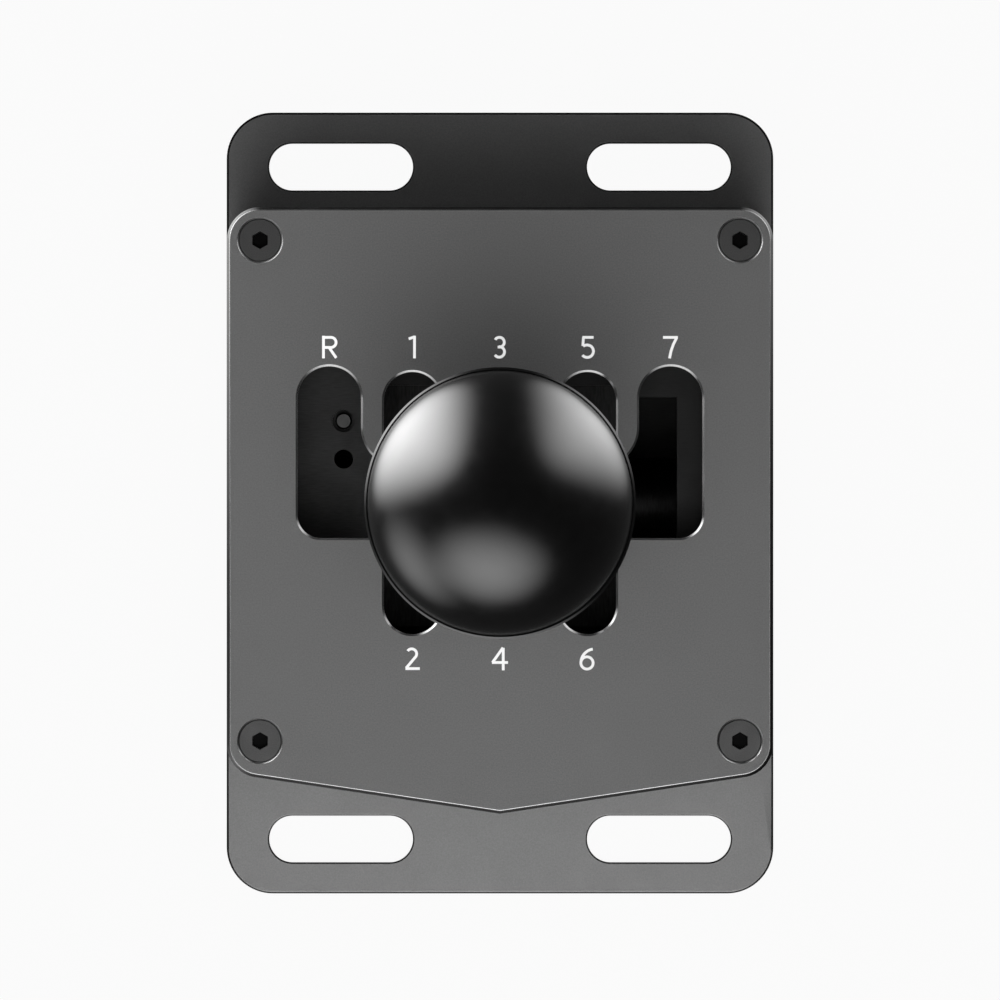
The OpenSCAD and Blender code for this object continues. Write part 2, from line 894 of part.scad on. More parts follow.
module reverse_spring() {
    low = base_t - pocket_depth;
    color(spring_steel)
    translate([-rocker_spring_x, -rocker_y - rocker_t / 2, low])
        coil_spring("reverse_spring", reverse_r, reverse_wire,
            pivot_z - rocker_drop - rocker_arm_t - low, reverse_turns);
}

// One of the two springs that bring the lever back to the middle column
module centring_spring(side, label) {
    low = base_t - pocket_depth;
    color(spring_steel)
    translate([side * centring_spring_x, centring_spring_y, low])
        coil_spring(label, centring_r, centring_wire, pivot_z - frame_half_h - low, centring_turns);
}

module left_centring_spring() {
    centring_spring(-1, "left_centring_spring");
}

module right_centring_spring() {
    centring_spring(1, "right_centring_spring");
}

// Rocker on the front select shaft: the gimbal's stop pin turns it only on the way to reverse
module reverse_rocker() {
    color(steel)
    translate([0, -rocker_y, pivot_z])
        rotate([90, 0, 0])
            linear_extrude(rocker_t)
                difference() {
                    union() {
                        circle(rocker_hub_r);
                        translate([-rocker_arm, -rocker_drop - rocker_arm_t])
                            square([2 * rocker_arm, rocker_arm_t]);
                    }
                    circle(select_r + run_gap);
                }
}

// Frame that turns about Y and holds the shift axle across its window
module gimbal_frame() {
    color(dark_metal)
    translate([0, 0, pivot_z])
    difference() {
        union() {
            translate([0, 0, -frame_half_h])
                linear_extrude(2 * frame_half_h)
                    difference() {
                        rounded_rect(2 * frame_x, 2 * frame_y, frame_corner_r);
                        rounded_rect(2 * window_x, 2 * window_y, window_corner_r);
                    }
            for (s = [-1, 1]) {
                boss_low = s > 0 ? window_x : -boss_reach;
                rod_x(boss_r, boss_low, boss_low + boss_reach - window_x);
                leg = s > 0 ? leg_in : -leg_out;
                translate([leg, -bridge_half_w, -bridge_top - bridge_t])
                    cube([leg_out - leg_in, 2 * bridge_half_w,
                        bridge_top + bridge_t - frame_half_h + leg_root]);
            }
            translate([-leg_out, -bridge_half_w, -bridge_top - bridge_t])
                cube([2 * leg_out, 2 * bridge_half_w, bridge_t]);
            post(barrel_boss_r, -barrel_bottom, -bridge_top);
        }
        // Room for the lever carrier's hub between the bridge's legs
        rod_x(hub_r + air, -window_x, window_x);
        rod_x(boss_bore_r, -boss_reach - cut, -window_x + cut);
        rod_x(boss_bore_r, window_x - cut, boss_reach + cut);
        rod_y(select_r, -frame_y - cut, -window_y + cut);
        rod_y(select_r, window_y - cut, frame_y + cut);
        post(barrel_r, -barrel_bottom - cut, -bridge_top + cut);
        translate([-stop_pin_x, 0, 0])
            rod_y(stop_pin_d / 2, -frame_y - cut, -frame_y + stop_pin_seat);
        for (s = [-1, 1])
            translate([0, s * (window_y + frame_end_t / 2), 0])
                post(m4_d / 2 + thread_gap, 0, frame_half_h + cut);
    }
}

module front_select_shaft() {
    color(steel)
    translate([0, 0, pivot_z])
        rod_y(select_r, -front_block_y - block_t - shaft_overhang, -window_y - shaft_overhang);
}

module rear_select_shaft() {
    color(steel)
    translate([0, 0, pivot_z])
        rod_y(select_r, window_y + shaft_overhang, rear_block_y + block_t + shaft_overhang);
}

module shaft_set_screws() {
    color(steel)
    for (s = [-1, 1])
        translate([0, s * (window_y + frame_end_t / 2), pivot_z])
            post(m4_d / 2, select_r, frame_half_h);
}

module shift_bushes() {
    color(bronze)
    translate([0, 0, pivot_z])
        for (low = [-window_x - bush_l, window_x])
            difference() {
                rod_x(boss_bore_r, low, low + bush_l);
                rod_x(axle_r + run_gap, low - cut, low + bush_l + cut);
            }
}

module stop_pin() {
    color(steel)
    translate([-stop_pin_x, 0, pivot_z])
        rod_y(stop_pin_d / 2, -rocker_y - rocker_t + pin_recess, -frame_y + stop_pin_seat);
}

module shift_sensor_board() {
    color(board_green)
    translate([0, 0, pivot_z])
        rod_x(boss_r - air, -boss_reach - board_t, -boss_reach);
}

module select_magnet() {
    low = rear_block_y + block_t + shaft_overhang;
    color(steel)
    translate([0, 0, pivot_z])
        rod_y(magnet_d / 2, low, low + select_magnet_t);
}

// Threaded sleeve of the detent, closed at its foot
module detent_barrel() {
    color(brass)
    translate([0, 0, pivot_z])
        difference() {
            post(barrel_r, -barrel_bottom, -bridge_top);
            post(pin_tip_r + run_gap, -barrel_bottom + barrel_floor, -bridge_top + cut);
        }
}

module detent_spring() {
    low = -barrel_bottom + barrel_floor;
    color(spring_steel)
    translate([0, 0, pivot_z + low])
        coil_spring("detent_spring", detent_spring_r, detent_wire,
            -pin_centre - pin_l - low, detent_turns);
}

module detent_pin() {
    color(steel)
    translate([0, 0, pivot_z - pin_centre]) {
        sphere(pin_tip_r);
        post(pin_tip_r, -pin_l, 0);
    }
}

// Block on the shift axle: it guides the lever above and bears the detent arc below
module lever_carrier() {
    sector_x = 2 * detent_r * sin(arc_half_angle);
    sector_y = -2 * detent_r * cos(arc_half_angle);
    color(steel)
    translate([0, 0, pivot_z])
    difference() {
        union() {
            rod_x(hub_r, -hub_half, hub_half);
            post(tube_r, 0, tube_top);
            translate([-arc_half_t, 0, 0])
                rotate([90, 0, 90])
                    linear_extrude(2 * arc_half_t)
                        difference() {
                            intersection() {
                                circle(detent_r);
                                polygon([[0, 0], [-sector_x, sector_y], [sector_x, sector_y]]);
                            }
                            for (a = [-shift_angle, 0, shift_angle])
                                translate([notch_centre * sin(a), -notch_centre * cos(a)])
                                    circle(notch_r);
                        }
        }
        rod_x(axle_r, -hub_half - cut, hub_half + cut);
        post(lever_d / 2 + run_gap, bore_bottom, tube_top + cut);
        post(lever_bush_r, tube_top - bush_seat_l, tube_top + cut);
        // Slot for the guide pin
        translate([-guide_pin_d / 2 - guide_slot_play, -tube_r - cut,
            guide_pin_h - press_travel - guide_pin_d / 2 - guide_slot_play])
            cube([guide_pin_d + 2 * guide_slot_play, 2 * (tube_r + cut),
                press_travel + guide_pin_d + 2 * guide_slot_play]);
        translate([hub_half - set_screw_inset, 0, 0])
            rod_y(m4_d / 2 + thread_gap, 0, hub_r + cut);
    }
}

module shift_axle() {
    color(steel)
    translate([0, 0, pivot_z])
        rod_x(axle_r, -axle_left, axle_right);
}

module axle_set_screw() {
    color(steel)
    translate([hub_half - set_screw_inset, 0, pivot_z])
        rod_y(m4_d / 2, axle_r, hub_r);
}

module shift_magnet() {
    color(steel)
    translate([0, 0, pivot_z])
        rod_x(magnet_d / 2, -axle_left - shift_magnet_t, -axle_left);
}

module lever_bush() {
    color(bronze)
    translate([0, 0, pivot_z])
        difference() {
            union() {
                post(lever_bush_r, tube_top - bush_seat_l, tube_top);
                post(tube_r, tube_top, tube_top + lever_flange_t);
            }
            post(lever_d / 2 + run_gap, tube_top - bush_seat_l - cut, tube_top + lever_flange_t + cut);
        }
}

module return_spring() {
    low = tube_top + lever_flange_t;
    color(spring_steel)
    translate([0, 0, pivot_z + low])
        coil_spring("return_spring", return_r, return_wire, collar_h - low, return_turns);
}

module lever_shaft() {
    color(steel)
    difference() {
        post(lever_d / 2, pivot_z + lever_bottom, knob_z - insert_top);
        translate([0, 0, pivot_z + guide_pin_h])
            rod_y(guide_pin_d / 2, -lever_d, lever_d);
    }
}

module guide_pin() {
    color(steel)
    translate([0, 0, pivot_z + guide_pin_h])
        rod_y(guide_pin_d / 2, -tube_r + guide_slot_play, tube_r - guide_slot_play);
}

module lockout_collar() {
    color(dark_metal)
    difference() {
        translate([0, 0, pivot_z])
            post(collar_r, collar_h, collar_h + collar_t);
        translate([0, 0, pivot_z])
            post(lever_d / 2, collar_h - cut, collar_h + collar_t + cut);
        translate([0, 0, pivot_z + collar_h + collar_t / 2])
            rod_y(m25_d / 2 + thread_gap, 0, collar_r + cut);
    }
}

module collar_set_screw() {
    color(steel)
    translate([0, 0, pivot_z + collar_h + collar_t / 2])
        rod_y(m25_d / 2, lever_d / 2, collar_r - pin_recess);
}

module lock_nut() {
    top = knob_z - knob_flat - neck_h;
    color(steel)
    difference() {
        translate([0, 0, top - nut_h])
            cylinder(r = nut_af / sqrt(3), h = nut_h, $fn = 6);
        post(lever_d / 2, top - nut_h - cut, top + cut);
    }
}

module knob_insert() {
    color(brass)
    difference() {
        post(insert_r, knob_z - knob_flat - neck_h + insert_inset, knob_z - insert_top);
        post(lever_d / 2, knob_z - knob_flat - neck_h, knob_z - insert_top + cut);
    }
}

// Lower half of the knob: a ball's underside with a neck, a hub and a rim around the dome
module knob_cup() {
    color(black_plastic)
    translate([0, 0, knob_z])
    difference() {
        union() {
            intersection() {
                sphere(knob_r);
                post(knob_r, -knob_flat, knob_rim_h);
            }
            post(neck_r, -knob_flat - neck_h, -knob_flat + cut);
        }
        difference() {
            intersection() {
                sphere(dome_r - knob_wall);
                post(knob_r, -knob_flat + knob_wall, 0);
            }
            post(insert_r + insert_wall, -knob_flat, -insert_top);
        }
        post(dome_r + knob_seam, 0, knob_rim_h + cut);
        post(insert_r, -knob_flat - neck_h + insert_inset, cut);
        post(lever_d / 2 + run_gap, -knob_flat - neck_h - cut, cut);
    }
}

// Upper half of the knob, a hollow dome that sits inside the cup's rim
module knob_dome() {
    color(black_plastic)
    translate([0, 0, knob_z])
        difference() {
            intersection() {
                sphere(dome_r);
                post(knob_r, 0, knob_r);
            }
            sphere(dome_r - knob_wall);
        }
}

base_plate();
housing();
top_cover();
cover_screws();
base_screws();
front_bearing_block();
rear_bearing_block();
block_screws();
select_bushes();
upper_frame();
frame_pillars();
pillar_screws();
frame_screws();
lockout_bracket();
lockout_plate();
lockout_screws();
bracket_screws();
locating_pin();
main_board();
board_standoffs();
board_screws();
data_jack();
select_sensor_board();
sensor_spacers();
sensor_screws();
rocker_stop();
reverse_spring();
left_centring_spring();
right_centring_spring();
reverse_rocker();
gimbal_frame();
front_select_shaft();
rear_select_shaft();
shaft_set_screws();
shift_bushes();
stop_pin();
shift_sensor_board();
select_magnet();
detent_barrel();
detent_spring();
detent_pin();
lever_carrier();
shift_axle();
axle_set_screw();
shift_magnet();
lever_bush();
return_spring();
lever_shaft();
guide_pin();
lockout_collar();
collar_set_screw();
lock_nut();
knob_insert();
knob_cup();
knob_dome();
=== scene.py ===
# %% [markdown]
# # A gated gear shifter for a driving simulator
#
# The shifter is a slotted base plate with a housing on it. The housing's cover has a gate cut through it,
# and a lever with a round black knob stands in the gate. This notebook takes the measured solids as a fixed
# frame, models the pieces that the eye rests on again with soft edges, and gives every other piece its own
# finish.
#
# Blender counts in metres. Sizes below are written in millimetres, as on a drawing, and `mm` turns them
# into metres.

# %% Load the measured solids
import json
import math

import bmesh
import bpy
from mathutils import Matrix, Vector


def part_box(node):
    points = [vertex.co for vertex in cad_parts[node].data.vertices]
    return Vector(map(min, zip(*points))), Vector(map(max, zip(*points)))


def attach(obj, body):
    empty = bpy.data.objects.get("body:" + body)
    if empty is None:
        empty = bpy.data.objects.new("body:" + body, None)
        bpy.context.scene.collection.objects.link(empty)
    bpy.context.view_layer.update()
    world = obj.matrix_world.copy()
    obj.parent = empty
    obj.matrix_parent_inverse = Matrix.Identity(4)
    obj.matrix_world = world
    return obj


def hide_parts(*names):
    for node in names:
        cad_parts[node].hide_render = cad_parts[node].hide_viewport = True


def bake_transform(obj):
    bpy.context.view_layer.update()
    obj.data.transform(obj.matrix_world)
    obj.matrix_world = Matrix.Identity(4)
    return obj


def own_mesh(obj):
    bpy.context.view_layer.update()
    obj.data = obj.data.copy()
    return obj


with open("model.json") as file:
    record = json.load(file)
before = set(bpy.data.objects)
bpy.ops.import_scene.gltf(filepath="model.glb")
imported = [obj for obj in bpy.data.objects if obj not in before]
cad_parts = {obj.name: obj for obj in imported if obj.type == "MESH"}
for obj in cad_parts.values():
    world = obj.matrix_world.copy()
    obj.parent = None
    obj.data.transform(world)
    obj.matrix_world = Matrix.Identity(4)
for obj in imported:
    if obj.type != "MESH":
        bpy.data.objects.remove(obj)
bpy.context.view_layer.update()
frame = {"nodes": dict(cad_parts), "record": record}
nodes = frame["nodes"]
MM = 0.001


def mm(*values):
    """A point or a size in millimetres, as Blender's metres."""
    return Vector(values) * MM


# %% [markdown]
# ## The camera
#
# The photograph was taken from straight above, and nothing in it leans outwards, so its lens was very long.
# A parallel camera would give that too, but the turned views are made by moving this camera back until the
# object fits, and that needs a lens with an angle. So it is a long lens, 7.4 m above the base plate.

# %% Look straight down from far away
VIEW_WIDTH = 179.3  # mm across the picture, at the height of the base plate's top
CAMERA_DISTANCE = 7440
BASE_TOP = 5
VIEW_CENTRE_Y = 0.54
SENSOR = 36
SIGHT = 20  # metres that the camera sees
camera = bpy.data.objects.new("camera", bpy.data.cameras.new("camera"))
bpy.context.scene.collection.objects.link(camera)
bpy.context.scene.camera = camera
camera.data.sensor_width = SENSOR
camera.data.lens = SENSOR * CAMERA_DISTANCE / VIEW_WIDTH
camera.data.clip_end = SIGHT
camera.location = mm(0, VIEW_CENTRE_Y, BASE_TOP + CAMERA_DISTANCE)
print("lens", round(camera.data.lens), "mm")

# %% [markdown]
# ## Finishes
#
# A finish is a small graph of nodes. It always starts from Object coordinates, which are metres on the
# object, so a pattern has a real size: a Noise node with a scale of 1 / 0.0003 has blotches of 0.3 mm. One
# helper adds a node, sets it up and links it, and every graph below is written with it.

# %% Helpers for node graphs
def colour(hex_code):
    """An sRGB hex colour as the linear colour that Blender's sockets hold."""
    parts = [int(hex_code[i:i + 2], 16) / 255 for i in (1, 3, 5)]
    linear = [c / 12.92 if c <= 0.04045 else ((c + 0.055) / 1.055) ** 2.4 for c in parts]
    return (*linear, 1)


def add_node(tree, kind, settings, links=None):
    """Adds a node, sets its properties or inputs, and links inputs to the outputs of other nodes."""
    node = tree.nodes.new(kind)
    for name, value in settings.items():
        if isinstance(name, str) and hasattr(node, name):
            setattr(node, name, value)
        else:
            node.inputs[name].default_value = value
    for name, source in (links or {}).items():
        tree.links.new(source, node.inputs[name])
    return node


def start_finish(name):
    """A new material with an empty graph, and the output of its Object coordinates."""
    material = bpy.data.materials.new(name)
    material.use_nodes = True
    material.node_tree.nodes.clear()
    coordinates = add_node(material.node_tree, "ShaderNodeTexCoord", {})
    return material, material.node_tree, coordinates.outputs["Object"]


# %% [markdown]
# ### Metals
#
# Nearly every piece is metal, and what tells one metal finish from another is its grain: how wide it is,
# which way it runs, and how much it changes colour, roughness and height. So one graph serves for all of
# them. A fine noise is the grain, a coarse noise makes the finish slightly uneven, as real plating and dye
# are, and both drive the Principled shader. A grain that is stretched along one axis gives drawn or turned
# metal.

# %% A graph for metal finishes
CLOUD = 6  # mm, how wide the uneven patches of plating or dye are


def metal_finish(name, dark, light, roughness, grain_mm, depth_mm, stretch=(1, 1, 1), metallic=1.0,
                 spread=0.08):
    """A metal between two colours with a grain of a given width and depth."""
    material, tree, place = start_finish(name)
    turned = add_node(tree, "ShaderNodeMapping", {"Scale": stretch}, {"Vector": place})
    grain = add_node(tree, "ShaderNodeTexNoise",
                     {"Scale": 1 / (grain_mm * MM), "Detail": 3.0, "Roughness": 0.6},
                     {"Vector": turned.outputs[0]})
    cloud = add_node(tree, "ShaderNodeTexNoise", {"Scale": 1 / (CLOUD * MM), "Detail": 2.0},
                     {"Vector": place})
    tone = add_node(tree, "ShaderNodeMapRange", {"From Min": 0.3, "From Max": 0.7},
                    {"Value": grain.outputs[0]})
    mixed = add_node(tree, "ShaderNodeMix", {"data_type": "RGBA", 6: colour(dark), 7: colour(light)},
                     {0: tone.outputs[0]})
    gloss = add_node(tree, "ShaderNodeMapRange",
                     {"From Min": 0.3, "From Max": 0.7, "To Min": roughness - spread / 2,
                      "To Max": roughness + spread / 2}, {"Value": cloud.outputs[0]})
    bump = add_node(tree, "ShaderNodeBump", {"Strength": 0.6, "Distance": depth_mm * MM},
                    {"Height": grain.outputs[0]})
    shader = add_node(tree, "ShaderNodeBsdfPrincipled", {"Metallic": metallic},
                      {"Base Color": mixed.outputs[2], "Roughness": gloss.outputs[0],
                       "Normal": bump.outputs[0]})
    add_node(tree, "ShaderNodeOutputMaterial", {}, {"Surface": shader.outputs[0]})
    return material


# %% [markdown]
# The visible body is aluminium. Its sheets were blasted with fine glass beads, which leaves a soft, even
# grain, and then anodised and dyed dark grey. The dyed oxide scatters light like a matt paint, and the
# metal under it still gives a faint sheen, so the shader is only partly metallic. The housing and the cover
# came out of the bath in slightly different greys. The plate is painted a lighter grey still: painted
# light that stands in for the brighter light on its flanges.

# %% Anodised aluminium for the body
GRAIN = 0.26  # mm: real blasting is finer, about 0.1 mm, and the picture couldn't show that
cover_finish = metal_finish("bead_blasted_grey_anodised_cover", "#4b4b4b", "#565656", 0.45, GRAIN, 0.012,
                            metallic=0.9, spread=0.015)
housing_finish = metal_finish("bead_blasted_grey_anodised_housing", "#4a4a4a", "#555555", 0.45, GRAIN, 0.012,
                              metallic=0.9, spread=0.015)
# The plate's lighter grey is painted light
plate_painted_light_finish = metal_finish("grey_anodised_plate_painted_light", "#616161", "#6c6c6c", 0.45, GRAIN, 0.012,
                            metallic=0.9, spread=0.015)
# The edges were cut after blasting. They are smooth, so each one is bright where it faces a lamp and dark
# elsewhere. Besides, the plate's and housing's edges are painted darker, painted shade, and the cover's
# lighter, partly a painted highlight
outer_edge_painted_shade = metal_finish("milled_edge_painted_shade", "#424242", "#4c4c4c", 0.2, GRAIN, 0.003,
                          metallic=0.95)
cover_edge_painted_highlight = metal_finish("milled_cover_rim_painted_highlight", "#787878", "#848484", 0.2, GRAIN, 0.003,
                          metallic=0.95)
# Fittings inside are dyed black and not blasted: flat, very dark, with a dull sheen. The same near black
# is painted shade on the plate's top inside the housing. The lock-out's sheet is painted a paler black than
# the milled blocks: painted light that makes up for its depth under the cover
black_anodised_and_painted_shade = metal_finish("dark_fittings_and_painted_shade", "#0d0d0d", "#161616", 0.45, 0.2, 0.004,
                              stretch=(0.1, 1, 1), metallic=0.7)
lockout_sheet_painted_light = metal_finish("paler_sheet_painted_light", "#212121", "#2d2d2d", 0.45, 0.2, 0.004,
                           stretch=(0.1, 1, 1), metallic=0.7)
print("body finishes with a grain of", GRAIN, "mm")

# %% [markdown]
# The other metals are steel in several states, bronze, brass and nickel. Black oxide is a thin dark film
# that leaves the turned or ground surface to be seen: the screws are satin and the pin a little paler where
# its film wore. A near-black finish is painted shade in the screws' sockets and on the pin's chamfers. Zinc
# plate is bright with a cold tint. A ground shaft has fine rings, and drawn wire has scratches along it.
# Sintered bronze is pressed from powder, so it is dull and speckled with pores. Brass shows its turning,
# and nickel is the smoothest of all.

# %% Steel, bronze, brass and nickel
screw_black = metal_finish("black_oxide_socket_screw", "#2d2d2d", "#3a3a3a", 0.36, 0.15, 0.003)
pin_black = metal_finish("blackened_dowel_pin", "#3c3c3c", "#484848", 0.36, 0.15, 0.003)
socket_painted_shade = metal_finish("near_black_painted_shade", "#050505", "#0a0a0a", 0.4, 0.15, 0.003)
lever_black = metal_finish("black_oxide_turned_steel", "#1c1c1c", "#2a2a2a", 0.3, 0.3, 0.003,
                           stretch=(0.1, 0.1, 1))
# Also put on the stop pin, where it is painted shade
blackened_steel_and_painted_shade = metal_finish("blackened_machined_steel_and_painted_shade", "#1b1b1b", "#292929", 0.42, 0.3, 0.004,
                            stretch=(1, 0.15, 1))
zinc_plate = metal_finish("zinc_plated_steel", "#8f959c", "#a9adb0", 0.3, 0.4, 0.003)
ground_steel = metal_finish("ground_shaft_steel", "#8a8b8d", "#a3a4a6", 0.22, 0.2, 0.003, stretch=(1, 1, 6))
spring_wire = metal_finish("drawn_spring_wire", "#6f7277", "#8b8e93", 0.28, 0.3, 0.004, stretch=(0.3, 0.3, 2))
bronze = metal_finish("sintered_bronze", "#7d5529", "#a2743c", 0.5, 0.35, 0.02)
brass = metal_finish("turned_brass", "#a5853c", "#bd9d50", 0.28, 0.3, 0.004, stretch=(0.2, 0.2, 2))
nickel = metal_finish("nickel_plated_magnet", "#aeaaa2", "#c2beb6", 0.15, 0.8, 0.002)

# %% [markdown]
# ### Plastics and ink
#
# The knob is a hard black plastic, moulded and then polished: close to a mirror, but not quite, so lamps
# show in it as soft patches. Its reflection comes from the shader's gloss alone, and a very shallow, wide
# ripple keeps it from looking like glass. Circuit boards have a green lacquer over their glass weave, the
# socket is dull nylon, and the printed ink is a flat, slightly grey white.

# %% A graph for plastics and lacquers
def plastic_finish(name, dark, light, roughness, grain_mm, depth_mm, ior=1.5, spread=0.06):
    """A plastic between two colours with a moulded or printed grain."""
    material, tree, place = start_finish(name)
    grain = add_node(tree, "ShaderNodeTexNoise", {"Scale": 1 / (grain_mm * MM), "Detail": 2.0},
                     {"Vector": place})
    mixed = add_node(tree, "ShaderNodeMix", {"data_type": "RGBA", 6: colour(dark), 7: colour(light)},
                     {0: grain.outputs[0]})
    gloss = add_node(tree, "ShaderNodeMapRange",
                     {"From Min": 0.3, "From Max": 0.7, "To Min": roughness - spread / 2,
                      "To Max": roughness + spread / 2}, {"Value": grain.outputs[0]})
    bump = add_node(tree, "ShaderNodeBump", {"Strength": 0.5, "Distance": depth_mm * MM},
                    {"Height": grain.outputs[0]})
    shader = add_node(tree, "ShaderNodeBsdfPrincipled", {"IOR": ior},
                      {"Base Color": mixed.outputs[2], "Roughness": gloss.outputs[0],
                       "Normal": bump.outputs[0]})
    add_node(tree, "ShaderNodeOutputMaterial", {}, {"Surface": shader.outputs[0]})
    return material


knob_gloss = plastic_finish("polished_black_phenolic", "#030303", "#050505", 0.24, 2.5, 0.002, ior=1.63,
                            spread=0.03)
board_lacquer = plastic_finish("green_solder_mask", "#0c3a20", "#12492a", 0.35, 0.6, 0.01)
socket_nylon = plastic_finish("moulded_black_nylon", "#101010", "#181818", 0.5, 0.3, 0.02)
ink = plastic_finish("white_printing_ink", "#d0d0d0", "#d6d6d6", 0.6, 0.3, 0.002)

# %% [markdown]
# ### Dress the solids that stay
#
# Most solids already have the right shape, so they only get their finish. The record names a finish for
# every solid, and the first table gives each of those names its node graph. Three solids get another
# finish, and the second table names them: the lock-out's plate and bracket are painted a paler black,
# painted light, and the stop pin a darker one, painted shade.

# %% Give every solid its finish
FINISHES = {
    "anodised_housing": housing_finish, "anodised_cover": cover_finish, "cover_screw_steel": screw_black,
    "bare_steel": zinc_plate, "dark_plate": black_anodised_and_painted_shade, "gimbal_metal": blackened_steel_and_painted_shade,
    "shaft_steel": ground_steel, "lever_steel": lever_black, "spring_steel": spring_wire, "bronze": bronze,
    "brass": brass, "magnet": nickel, "board": board_lacquer, "socket_plastic": socket_nylon,
    "knob_plastic": knob_gloss,
}
# Painted light and shade: a paler sheet for the lock-out, a darker steel for the stop pin
BY_NODE = {"lockout_plate": lockout_sheet_painted_light, "lockout_bracket": lockout_sheet_painted_light, "stop_pin": blackened_steel_and_painted_shade}
for part in frame["record"]["subparts"]:
    finish = BY_NODE.get(part["node"], FINISHES[part["material_slot"]])
    nodes[part["node"]].data.materials.clear()
    nodes[part["node"]].data.materials.append(finish)

# %% [markdown]
# ## Tools for modelling
#
# Sheet metal parts are outlines with a thickness. The pen below draws a closed outline from one start
# point: a straight move extrudes a vertex, and an arc spins it about a centre. An outline that doesn't come
# back to its start is the right half of a symmetrical one, and the mirror operator adds the left. A wall is
# the same outline drawn at several heights, each drawn in a little more near the faces, and bridged. That
# gives every edge the small radius that catches the light, and it keeps both faces flat.

# %% The pen
ARC_STEP = 5  # degrees between the points of an arc
SAME = 0.01  # mm that count as the same place


def once(parts):
    """Parts of a mesh, each of them once and in their order, so that every run makes the same mesh."""
    return list(dict.fromkeys(parts))


def draw(bm, start, moves, height=0.0):
    """Draws a closed outline at a height, from moves (x, y) or (centre x, centre y, degrees)."""
    before = set(bm.edges)
    first = bmesh.ops.create_vert(bm, co=mm(*start, height))["vert"][0]
    tip = first
    for move in moves:
        if len(move) == 2:
            tip = next(v for v in bmesh.ops.extrude_vert_indiv(bm, verts=[tip])["verts"])
            tip.co = mm(*move, height)
        else:
            steps = max(2, round(abs(move[2]) / ARC_STEP))
            turned = bmesh.ops.spin(bm, geom=[tip], cent=mm(move[0], move[1], height), axis=(0, 0, 1),
                                    angle=math.radians(move[2]), steps=steps, use_duplicate=False)
            tip = next(v for v in turned["geom_last"] if isinstance(v, bmesh.types.BMVert))
    if (tip.co - first.co).length < SAME * MM:
        bmesh.ops.pointmerge(bm, verts=[first, tip], merge_co=first.co)
    else:
        half = [edge for edge in bm.edges if edge not in before]
        ends = once(v for edge in half for v in edge.verts)
        bmesh.ops.mirror(bm, geom=ends + half, axis="X", merge_dist=SAME * MM)
    return [edge for edge in bm.edges if edge not in before]


def wall(outline, steps):
    """A mesh of one outline drawn at several (inset, height) steps, each bridged to the next."""
    bm = bmesh.new()
    loops = [draw(bm, *outline(inset), height) for inset, height in steps]
    for lower, upper in zip(loops, loops[1:]):
        bmesh.ops.bridge_loops(bm, edges=lower + upper)
    mesh = bpy.data.meshes.new("wall")
    bm.to_mesh(mesh)
    bm.free()
    return mesh


def soft_steps(low, high, radius):
    """Steps of a wall from low to high whose two edges are rounded by a radius."""
    turn = [math.radians(a) for a in (0, 30, 60, 90)]
    upper = [(radius * (1 - math.cos(t)), high - radius + radius * math.sin(t)) for t in turn]
    lower = [(inset, low + high - height) for inset, height in reversed(upper)]
    return lower + upper


# %% [markdown]
# A solid is a set of walls with lids on their open ends. Loops at the same height share a lid, so an
# outline and the holes in it are closed by one flat face, and each blind hole gets its bottom. Every wall
# is drawn in a small mesh of its own first, because an operator looks through its whole mesh each time. A
# plane can cut some of the faces again, for a window or for another finish on part of a face.

# %% From walls to a finished piece
def solid(walls):
    """A closed solid from (outline, steps) walls."""
    bm = bmesh.new()
    for outline, steps in walls:
        part = wall(outline, steps)
        bm.from_mesh(part)
        bpy.data.meshes.remove(part)
    rims = {}
    for edge in bm.edges:
        if edge.is_boundary:
            rims.setdefault(round(edge.verts[0].co.z / MM, 2), []).append(edge)
    for rim in rims.values():
        bmesh.ops.triangle_fill(bm, use_beauty=True, use_dissolve=True, edges=rim)
    return bm


def slice_faces(bm, faces, axis, value):
    """Cuts some faces of a mesh with a plane square to an axis (0 is X), at a value in millimetres."""
    around = once(part for face in faces for part in [face, *face.edges, *face.verts])
    square = Vector([float(axis == i) for i in range(3)])
    bmesh.ops.bisect_plane(bm, geom=around, plane_co=square * value * MM, plane_no=square)


# %% [markdown]
# A milled part is flat right up to its edges, which are rounded by a few tenths of a millimetre. Smooth
# shading alone would bend the light over the whole flat face. The Weighted Normal modifier lets the largest
# face at each point decide, so flats stay flat and only the small roundings shade softly.
#
# The edges of the body were cut again after it was blasted, so they shine where its faces are matt. They
# are the faces that slope, between the upright walls and the level tops.

# %% Finish a piece
MERGE = 0.002  # mm
UPRIGHT, LEVEL = 0.2, 0.98  # how much of a face's normal points up, at most in a wall and at least in a flat


def finish_piece(bm, name, material, body, stands_for=(), sharp=25):
    """Turns a bmesh into a piece, smooth but for its sharp edges, that rides on a body if one is named."""
    bmesh.ops.remove_doubles(bm, verts=bm.verts, dist=MERGE * MM)
    bmesh.ops.delete(bm, geom=[edge for edge in bm.edges if edge.is_wire], context="EDGES")
    bmesh.ops.recalc_face_normals(bm, faces=bm.faces)
    mesh = bpy.data.meshes.new(name)
    open_edges = sum(not edge.is_manifold for edge in bm.edges)
    bm.to_mesh(mesh)
    bm.free()
    mesh.shade_smooth()
    mesh.set_sharp_from_angle(angle=math.radians(sharp))
    mesh.materials.append(material)
    piece = bpy.data.objects.new(name, mesh)
    bpy.context.scene.collection.objects.link(piece)
    piece.modifiers.new("flat_faces", "WEIGHTED_NORMAL").keep_sharp = True
    if body:
        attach(piece, body)
    if stands_for:
        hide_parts(*stands_for)
    print(name, len(mesh.polygons), "faces,", open_edges, "open edges")
    return piece


def cut_edges(bm, lowest):
    """Puts the sloping faces above a height in the second material slot."""
    for face in bm.faces:
        high = face.calc_center_median().z > lowest * MM
        face.material_index = int(high and UPRIGHT < abs(face.normal.z) < LEVEL)


